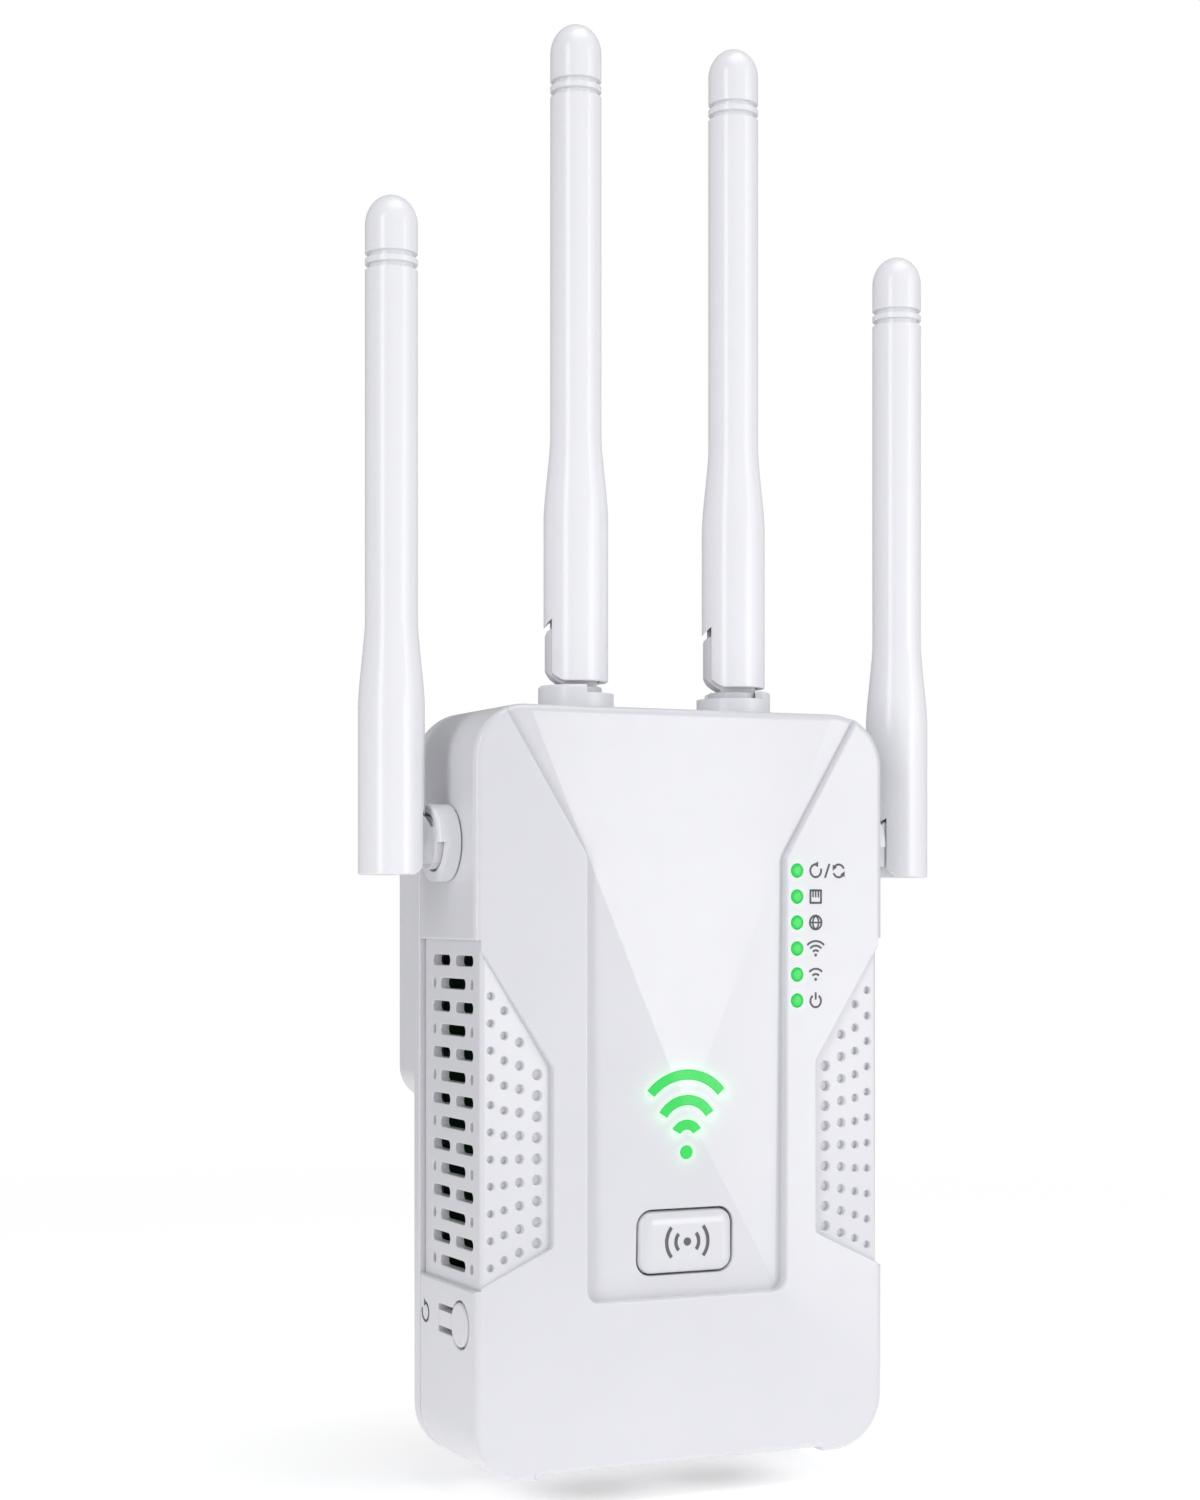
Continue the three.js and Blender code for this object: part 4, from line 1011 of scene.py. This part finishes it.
def bar(start, end, width):
    """A straight stroke with round ends."""
    first, last = Vector(start), Vector(end)
    along = (last - first).normalized() * (width / 2)
    side = Vector((along.y, -along.x))
    corners = [first - along + side, last + along + side, last + along - side, first - along - side]
    return rounded([(corner.x, corner.y, width / 2 - 0.005) for corner in corners], 0, 4)


def head(tip, direction, size):
    """A small arrow head round tip that points in a direction in degrees."""
    angles = [math.radians(direction + turn) for turn in (0, 125, 235)]
    return [(tip[0] + size * math.cos(angle), tip[1] + size * math.sin(angle)) for angle in angles]


def turning_arrow(u, v, radius, width):
    """A round arrow: start again."""
    return [bow(u, v, radius, 100, 380, width), head((u + radius * 0.12, v + radius), 180, width * 1.7)]


def two_arrows(u, v, radius, width):
    """Two arrows chasing each other: pair."""
    strokes = []
    for turn in (20, 200):
        strokes.append(bow(u, v, radius, turn, turn + 120, width))
        end = math.radians(turn + 130)
        tip = (u + radius * math.cos(end), v + radius * math.sin(end))
        strokes.append(head(tip, turn + 220, width * 1.6))
    return strokes


def port_sign(u, v, size, width):
    """The outline of a network socket with its contacts."""
    half = size / 2
    bars = []
    for side in (-half, half):
        bars.append(bar((u - half, v + side), (u + half, v + side), width))
        bars.append(bar((u + side, v - half), (u + side, v + half), width))
    for shift in (-half / 2, 0, half / 2):
        bars.append(bar((u + shift, v), (u + shift, v + half), width * 0.8))
    return bars


def globe_sign(u, v, radius, width):
    """A circle with a level line and two meridians."""
    return [bow(u, v, radius, 0, 180, width), bow(u, v, radius, 180, 360, width),
            bar((u - radius, v), (u + radius, v), width * 0.8),
            bow(u - radius * 0.75, v, radius * 1.25, -53, 53, width * 0.8),
            bow(u + radius * 0.75, v, radius * 1.25, 127, 233, width * 0.8)]


def wave_sign(u, v, bows, pitch, width):
    """A dot with bows above it."""
    strokes = [rounded(disc(width * 0.75, u, v), 0, 4)]
    return strokes + [bow(u, v, pitch * (number + 1), 45, 135, width) for number in range(bows)]


def power_sign(u, v, radius, width):
    """A broken circle with an upright stroke."""
    return [bow(u, v, radius, 125, 415, width), bar((u, v + radius * 0.35), (u, v + radius * 1.25), width)]


def printed(name, outlines, place, body):
    """Ink a few hundredths thick, laid on a surface."""
    work = bmesh.new()
    for outline in outlines:
        work.from_mesh(ring_solid([[place(u, v, sink) for u, v in outline] for sink in (-0.03, 0.03)]))
    mesh = bpy.data.meshes.new(name)
    work.to_mesh(mesh)
    work.free()
    return fitted(name, mesh, body, ink, broad=0.02)


line = 0.27
sign_x = status_x + 2.75
rows = [status_z - row * status_pitch for row in range(status_count)]
signs = [
    turning_arrow(sign_x, rows[0], 0.82, line)
    + [bar((sign_x + 1.45, rows[0] - 0.8), (sign_x + 2.05, rows[0] + 0.8), line)]
    + two_arrows(sign_x + 3.5, rows[0], 0.82, line),
    port_sign(sign_x, rows[1], 1.6, line),
    globe_sign(sign_x, rows[2], 0.88, line),
    wave_sign(sign_x, rows[3] - 0.85, 3, 0.6, line),
    wave_sign(sign_x, rows[4] - 0.65, 2, 0.68, line),
    power_sign(sign_x, rows[5] - 0.1, 0.8, line),
]
for number, strokes in enumerate(signs, 1):
    printed(f"status_mark_{number}", strokes, on_face, "body")

reset_mark_y = reset_arm_end + 4.3
printed("reset_mark", turning_arrow(reset_mark_y, reset_z, 1.15, 0.34), on_side(-1), "body")

# ---------------------------------------------------------------- pair button
# A moulded cap in the same white plastic, with a broad rolled edge, that presses a switch on the board
# through a post. Its flange inside the face holds it in.
button_low, button_high = span("pair_button")
cap_width, cap_high, cap_corner = 13.02, 7.82, 1.8
flange_width, flange_high, flange_thick = 15.1, 9.9, 1.0


def button_mesh():
    """The cap, its flange and its post."""
    cap = rectangle(cap_width, cap_high, cap_corner, 0, button_z)
    profile = [
        (0.0, 1.75), (0.015, 1.35), (0.07, 1.0), (0.16, 0.68), (0.31, 0.4), (0.52, 0.18), (0.8, 0.05),
        (1.1, 0.0), (face_wall + 1.2, 0.0),
    ]
    solid = lofted(cap, [(button_low.y + sink, inset) for sink, inset in profile], 8)
    flange_y, post_end = front_y + face_wall + 0.6, button_high.y
    flange = slab(rectangle(flange_width, flange_high, 2, 0, button_z), flange_y, flange_thick)
    post = lofted(disc(2, 0, button_z), [(flange_y + 0.4, 0), (post_end - 0.3, 0), (post_end, 0.3)], 8)
    return carved(solid, flange, post, keep="UNION")


button = fitted("pair_button_cap", button_mesh(), "pair_button", white_shell, 9.0)
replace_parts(button, "pair_button")


def on_cap(u, v, sink):
    return (u, button_low.y + sink, v)


broadcast = [rounded(disc(0.52, 0, button_z), 0, 8)]
for radius in (1.6, 2.9):
    broadcast += [bow(0, button_z, radius, turn - 40, turn + 40, 0.46) for turn in (0, 180)]
printed("button_mark", broadcast, on_cap, "pair_button")

switch_black = finish("switch_black", (0.012, 0.012, 0.014), (0.022, 0.022, 0.025), (0.38, 0.55), 5200, 8e-6)
nylon = finish("plunger_nylon", (0.66, 0.66, 0.64), (0.72, 0.72, 0.70), (0.40, 0.52), 5200, 6e-6)
finely("pair_switch", "housing", switch_black)
finely("pair_switch_plunger", "moulding", nylon)

# ---------------------------------------------------------------- reset tab
# A round pad on a thin arm, moulded in the side wall between two slots, that bends inwards to press the
# reset switch.
nub_radius, nub_end, arm_thick = 1.0, 3.2, 1.2


def reset_mesh():
    """Pad, arm and nub."""
    solid = ring_solid([
        [(-half_width + sink, y, z) for y, z in rounded(disc(reset_radius, reset_y, reset_z), -inset, 12)]
        for sink, inset in ((-0.15, 0.35), (-0.1, 0.12), (0.05, 0.0), (2.0, 0.0))
    ])
    arm_low = (-half_width, reset_y, reset_z - reset_arm_half)
    arm = block(arm_low, (-half_width + arm_thick, reset_arm_end - 0.3, reset_z + reset_arm_half))
    nub = ring_solid([
        [(-half_width + x, reset_y + y, reset_z + z) for y, z in rounded(disc(radius), 0, 6)]
        for x, radius in ((1, nub_radius), (nub_end - 0.15, nub_radius), (nub_end, nub_radius - 0.2))
    ])
    return carved(solid, arm, nub, keep="UNION")


reset = fitted("reset_tab_moulding", reset_mesh(), "reset_tab", white_shell, 3.0)
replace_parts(reset, "reset_tab")
finely("reset_switch", "housing", switch_black)
finely("reset_switch_plunger", "moulding", nylon, ease=0.08)

# ---------------------------------------------------------------- circuit boards
# The radio board, glass fibre under a dark mask, hangs behind the face with its processor, cooling fins and
# tin shield. The mains board, bare resin-bonded paper, lies in the plug block with its transformer and its
# reservoir capacitor.
solder_mask = finish(
    "solder_mask", (0.006, 0.020, 0.013), (0.010, 0.034, 0.020), (0.26, 0.42), 2600, 6e-6, patch_scale=1400,
)
mains_resin = finish(
    "mains_board_resin", (0.30, 0.21, 0.09), (0.38, 0.27, 0.12), (0.40, 0.55), 2600, 8e-6, patch_scale=900,
)
chip_epoxy = finish("chip_epoxy", (0.016, 0.016, 0.018), (0.026, 0.026, 0.029), (0.42, 0.60), 5200, 8e-6)
tin = finish("tin_plate", (0.62, 0.62, 0.64), (0.74, 0.74, 0.76), (0.20, 0.38), 1800, 6e-6, metal=1.0)
fins = finish("drawn_aluminium", (0.60, 0.61, 0.63), (0.72, 0.73, 0.75), (0.28, 0.42), 2600, 8e-6, metal=1.0)
tape = finish("winding_tape", (0.62, 0.42, 0.03), (0.72, 0.52, 0.06), (0.30, 0.42), 1500, 2e-5)
sleeve_film = finish("shrink_sleeve", (0.014, 0.026, 0.075), (0.022, 0.040, 0.105), (0.24, 0.36), 1500, 1e-5)
finely("main_board", "laminate", solder_mask, ease=0)
finely("power_board", "laminate", mains_resin, ease=0)
finely("processor", "package", chip_epoxy, ease=0.08)
finely("network_transformer", "package", chip_epoxy)
finely("board_header", "housing", chip_epoxy)
finely("radio_shield", "can", tin, ease=0.25)
finely("heat_sink", "extrusion", fins)
finely("transformer", "winding", tape, ease=0.3)
finely("bulk_capacitor", "can", sleeve_film, ease=0.2, broad=9.0)

board_face = span("main_board")[0].y
chip_part = finish("chip_part_body", (0.30, 0.24, 0.17), (0.42, 0.35, 0.26), (0.40, 0.55), 5200, 4e-6)
# Each row's first x and z, its number of parts, and the step from one to the next.
chip_rows = [
    (5.5, -6.0, 9, (1.9, 0, 0)), (5.5, -8.6, 9, (1.9, 0, 0)), (-20.0, 12.0, 6, (0, 0, -2.1)),
    (18.6, -12.0, 8, (0, 0, -2.2)), (3.0, 6.0, 7, (2.0, 0, 0)), (-20.5, -22.0, 6, (0, 0, -1.9)),
]
for number, (x, z, count, step) in enumerate(chip_rows, 1):
    part = block((-0.5, -0.55, -0.8), (0.5, 0.0, 0.8))
    row = stamped(part, count, (x, board_face, z), step, chip_part)
    fitted(f"chip_parts_{number}", row, "body", chip_part, 0.5)

# ---------------------------------------------------------------- network jacks
# Two right-angle jacks that open at the foot: a folded tin shell, a black moulding inside and eight sprung
# contacts opposite the latch.
gilt = finish("contact_gilt", (0.80, 0.56, 0.20), (0.88, 0.66, 0.30), (0.16, 0.26), 2600, 2e-6, metal=1.0)
contact_pitch, contact_count, contact_length = 1.02, 8, 9.5
mouth_back, liner_wall, liner_top, liner_thick = 10.9, 0.18, 12.98, 0.38
# Half the mouth's width and its front depth at each step: the plug's body, its shoulder and its latch.
mouth_steps = ((5.95, 3.9), (3.2, 2.3), (1.9, 1.2))


def mouth_outline(centre, front, inset):
    """The stepped mouth of a jack, in x and y, drawn in by inset."""
    (wide, body), (middle, shoulder), (narrow, latch) = [
        (half - inset, front + depth + inset) for half, depth in mouth_steps
    ]
    right = [(wide, front + mouth_back - inset), (wide, body), (middle, body), (middle, shoulder),
             (narrow, shoulder), (narrow, latch)]
    left = [(-x, y) for x, y in right]
    return [(centre + x, y) for x, y in left + right[::-1]]


def jack_liner(centre, front, foot):
    """The thin black moulding that lines a mouth."""
    sleeve, hollow = [
        ring_solid([[(x, y, foot + z) for x, y in mouth_outline(centre, front, inset)] for z in levels])
        for inset, levels in ((0.01, (0.4, liner_top)), (liner_wall, (-1, liner_top - liner_thick)))
    ]
    return carved(sleeve, hollow)


for node in ("wan_jack", "lan_jack"):
    finely(node, "shell", tin, ease=0.15)
    low, high = span(node)
    centre = (low.x + high.x) / 2
    fitted(f"{node}_liner", jack_liner(centre, low.y, low.z), "body", chip_epoxy, 1.0)
    spring = block((-0.2, -0.4, 0), (0.2, 0, contact_length))
    first = (centre - contact_pitch * (contact_count - 1) / 2, low.y + mouth_back - 0.15, low.z + 2.2)
    springs = stamped(spring, contact_count, first, (contact_pitch, 0, 0), gilt)
    fitted(f"{node}_contacts", springs, "body", gilt, 0.5)

# ---------------------------------------------------------------- antenna joints
# A stepped collar snaps into each hole of the body and holds an acetal elbow that turns in it. The elbow's
# tongue stands in the slot of the rod, and a steel pin through both lets the rod fold down.
joint_gap = 0.3
collar_radius, collar_tall, collar_step, collar_neck = 4.8, 3.0, 1.0, 4.1
collar_snap, snap_ledge = -2.3, 0.7
stem_radius, stem_snap, elbow_disc = 2.3, -3.6, 3.3
lead_bore, elbow_pin_hole = 0.8, 1.0
pin_height, pin_hole = 7.5, 0.95
slot_half, slot_back, slot_reach = 2.6, 2.9, 5.0
fold_turn = math.radians(159)
top_fold = (math.cos(fold_turn), math.sin(fold_turn), 0)


def joint_frame(place, outward, fold):
    """From a joint's own frame, +Z out of the body and +X the way its rod folds, to the assembly's."""
    out, towards = Vector(outward), Vector(fold)
    turn = Matrix((towards, out.cross(towards), out)).transposed()
    return Matrix.Translation(place) @ turn.to_4x4()


seats = {
    "top_left": joint_frame((-top_antenna_x, antenna_y, top_z), (0, 0, 1), top_fold),
    "top_right": joint_frame((top_antenna_x, antenna_y, top_z), (0, 0, 1), top_fold),
    "side_left": joint_frame((-half_width, antenna_y, side_antenna_z), (-1, 0, 0), (0, 0, 1)),
    "side_right": joint_frame((half_width, antenna_y, side_antenna_z), (1, 0, 0), (0, 0, 1)),
}
# Where each collar's lower half faces, in degrees from the way its rod folds.
low_turns = {"top_left": 194, "top_right": 45, "side_left": 180, "side_right": 180}


def turned(profile, sides=72):
    """A solid of revolution about Z through (radius, height) levels."""
    angles = [2 * math.pi * side / sides for side in range(sides)]
    return ring_solid([[(r * math.cos(a), r * math.sin(a), z) for a in angles] for r, z in profile])


def prism(outline, low, high):
    """An x, z outline drawn out along Y."""
    return ring_solid([[(x, y, z) for x, z in outline] for y in (low, high)])


def swept(radius, start, end, steps=24):
    """Points on an arc about the pin, in degrees."""
    angles = [math.radians(start + (end - start) * step / steps) for step in range(steps + 1)]
    return [(radius * math.cos(a), radius * math.sin(a)) for a in angles]


def edge_round(radius, height, roll, turn):
    """Levels that round an outer edge: turn 1 for an upper edge and -1 for a lower one."""
    levels = [(radius - down, height - turn * along) for along, down in quarter_round(roll, 6)]
    return levels if turn > 0 else levels[::-1]


def collar_mesh(low_turn):
    """The collar, its snap ring, its two bores and its lower half."""
    foot, past = 0.1, 9
    outer = [
        (collar_neck, collar_snap - 1), (collar_neck + snap_ledge, collar_snap), (collar_neck, collar_snap),
        (collar_neck, foot),
    ]
    outer += edge_round(collar_radius, foot, 0.2, -1) + edge_round(collar_radius, collar_tall, 0.4, 1)
    narrow, wide = stem_radius + joint_gap, elbow_disc + joint_gap
    bore = turned([
        (narrow, -past), (narrow, 1), (wide, 1), (wide, collar_tall - 0.2),
        (wide + 0.06, collar_tall - 0.06), (wide + 0.2, collar_tall), (wide + 0.2, past),
    ])
    step = block((0, -past, collar_tall - collar_step), (past, past, past))
    step.transform(Matrix.Rotation(math.radians(low_turn), 4, "Z"))
    return carved(turned(outer), bore, step)


def elbow_mesh():
    """The tongue, the disc it stands on and the snap stem."""
    half, back, sweep = slot_half - joint_gap, slot_back - joint_gap, slot_reach - joint_gap
    face, face_corner, past = 3.95, 0.8, 9
    base = collar_tall - 0.1
    brow = collar_tall + 0.2 - pin_height
    foot = base - pin_height - 0.5
    brow_angle = math.asin(-brow / sweep)
    outline = [(-back, foot), (sweep * math.cos(brow_angle), foot)]
    outline += swept(sweep, -math.degrees(brow_angle), -math.degrees(math.acos(face / sweep)), 12)
    outline += [(face, back - face_corner), (face - 0.23, back - 0.23), (face - face_corner, back)]
    tongue = prism(outline + swept(back, 90, 180), -half, half)
    tongue.transform(Matrix.Translation((0, 0, pin_height)))
    column = turned([(elbow_disc, base - 1), (elbow_disc, base + 0.3), (face, base + 0.3), (face, 14)])
    profile = [
        (stem_radius, stem_snap - 1.8), (stem_radius + snap_ledge, stem_snap - 0.8),
        (stem_radius + snap_ledge, stem_snap), (stem_radius, stem_snap), (stem_radius, 1.3),
        (elbow_disc, 1.3),
    ]
    stem = turned(profile + edge_round(elbow_disc, base, 0.2, 1))
    solid = carved(carved(tongue, column, keep="INTERSECT"), stem, keep="UNION")
    hole = prism(rounded(disc(elbow_pin_hole, 0, pin_height), 0, 8), -past, past)
    return carved(solid, hole, turned([(lead_bore, -past), (lead_bore, pin_height)], 24))


acetal = finish("joint_acetal", (0.66, 0.66, 0.69), (0.70, 0.70, 0.73), (0.34, 0.44), 3600, 5e-6)
pin_steel = finish("pin_steel", (0.48, 0.49, 0.51), (0.58, 0.59, 0.61), (0.22, 0.34), 3500, 4e-6, metal=1.0)
jacket = finish("coax_jacket", (0.012, 0.012, 0.014), (0.022, 0.022, 0.025), (0.34, 0.48), 3600, 8e-6)
collar_white = finish("collar_white", (0.76, 0.76, 0.80), (0.79, 0.79, 0.83), (0.30, 0.40), 5200, 5e-6)
for name, seat in seats.items():
    collar, elbow = collar_mesh(low_turns[name]), elbow_mesh()
    for mesh in (collar, elbow):
        mesh.transform(seat)
    collar = fitted(f"{name}_collar_ring", collar, "body", collar_white, 5.0)
    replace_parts(collar, f"{name}_collar")
    elbow = fitted(f"{name}_elbow_moulding", elbow, f"{name}_elbow", acetal, 5.0)
    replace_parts(elbow, f"{name}_elbow")
    finely(f"{name}_hinge_pin", "rod", pin_steel, ease=0.1, broad=9.0)
    finely(f"{name}_coax", "lead", jacket, ease=0, broad=9.0)

# ---------------------------------------------------------------- antenna rods
# Hollow moulded rods over a brass radiator: a straight foot with the slot and the pin's hole, a short taper,
# a slim upper length with two fine grooves and a domed cap.
rod_foot, rod_length, rod_base, rod_tip = -4.0, 83.5, 4.1, 3.25
base_length, taper_length, taper_curve, dome_tall = 21.0, 10.0, 0.45, 3.75
groove_drop, groove_wide, groove_deep = 7.25, 0.68, 0.55
heel_radius, pin_hole_half = 4.3, 3.45
wire_bore, wire_foot, wire_head = 1.2, 1.0, 7.0


def groove_levels(top):
    """One groove round the rod, below top, from its lower lip to its upper one."""
    low, lip, lip_edge, floor = top - groove_wide, 0.04, rod_tip - 0.03, rod_tip - groove_deep
    return [
        (rod_tip, low - lip), (lip_edge, low), (floor, low + 0.06), (floor, top - 0.06), (lip_edge, top),
        (rod_tip, top + lip),
    ]


def rod_mesh():
    """The rod turned in one, with its slot, its rounded heel, the pin's hole and the radiator's bore."""
    tip = rod_foot + rod_length
    start, fall, steps = rod_foot + base_length, rod_base - rod_tip, 16
    levels = edge_round(rod_base, rod_foot, 0.22, -1)
    for step in range(steps + 1):
        share = step / steps
        eased = share * share * (3 - 2 * share) * taper_curve + share * (1 - taper_curve)
        levels.append((rod_base - fall * eased, start + taper_length * share))
    levels += [(rod_tip, start + taper_length + 12), (rod_tip, start + taper_length + 26)]
    top = tip - groove_drop
    levels += groove_levels(top - 2 * groove_wide) + groove_levels(top)
    for step in range(steps):
        angle = math.pi / 2 * step / steps
        levels.append((rod_tip * math.cos(angle), tip - dome_tall * (1 - math.sin(angle))))
    levels.append((0.05, tip))
    ceiling, past = math.degrees(math.acos(-slot_back / slot_reach)), 6
    slot = [(-slot_back, rod_foot - 1), (slot_reach, rod_foot - 1)] + swept(slot_reach, 0, ceiling)
    heel = swept(heel_radius, -90, 0) + [(past, 0), (past, -past), (0, -past)]
    cuts = [prism(slot, -slot_half, slot_half), prism(heel, -past, past)]
    cuts.append(prism(rounded(disc(pin_hole), 0, 8), -pin_hole_half, pin_hole_half))
    cuts.append(turned([(wire_bore, wire_foot), (wire_bore, tip - wire_head)], 24))
    return carved(turned(levels, 96), *cuts)


rod_white = finish("rod_white", (0.84, 0.84, 0.875), (0.85, 0.85, 0.885), (0.24, 0.26), 1500, 1e-6)
for name, seat in seats.items():
    rod, pin_place = rod_mesh(), Matrix.Translation((0, 0, pin_height))
    folded = 90 if name.startswith("side") else 0
    rod.transform(seat @ pin_place @ Matrix.Rotation(math.radians(folded), 4, "Y"))
    rod = fitted(f"{name}_rod", rod, f"{name}_antenna", rod_white, 25.0)
    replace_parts(rod, f"{name}_antenna_sleeve")
    finely(f"{name}_radiator", "wire", brass, ease=0, broad=9.0)
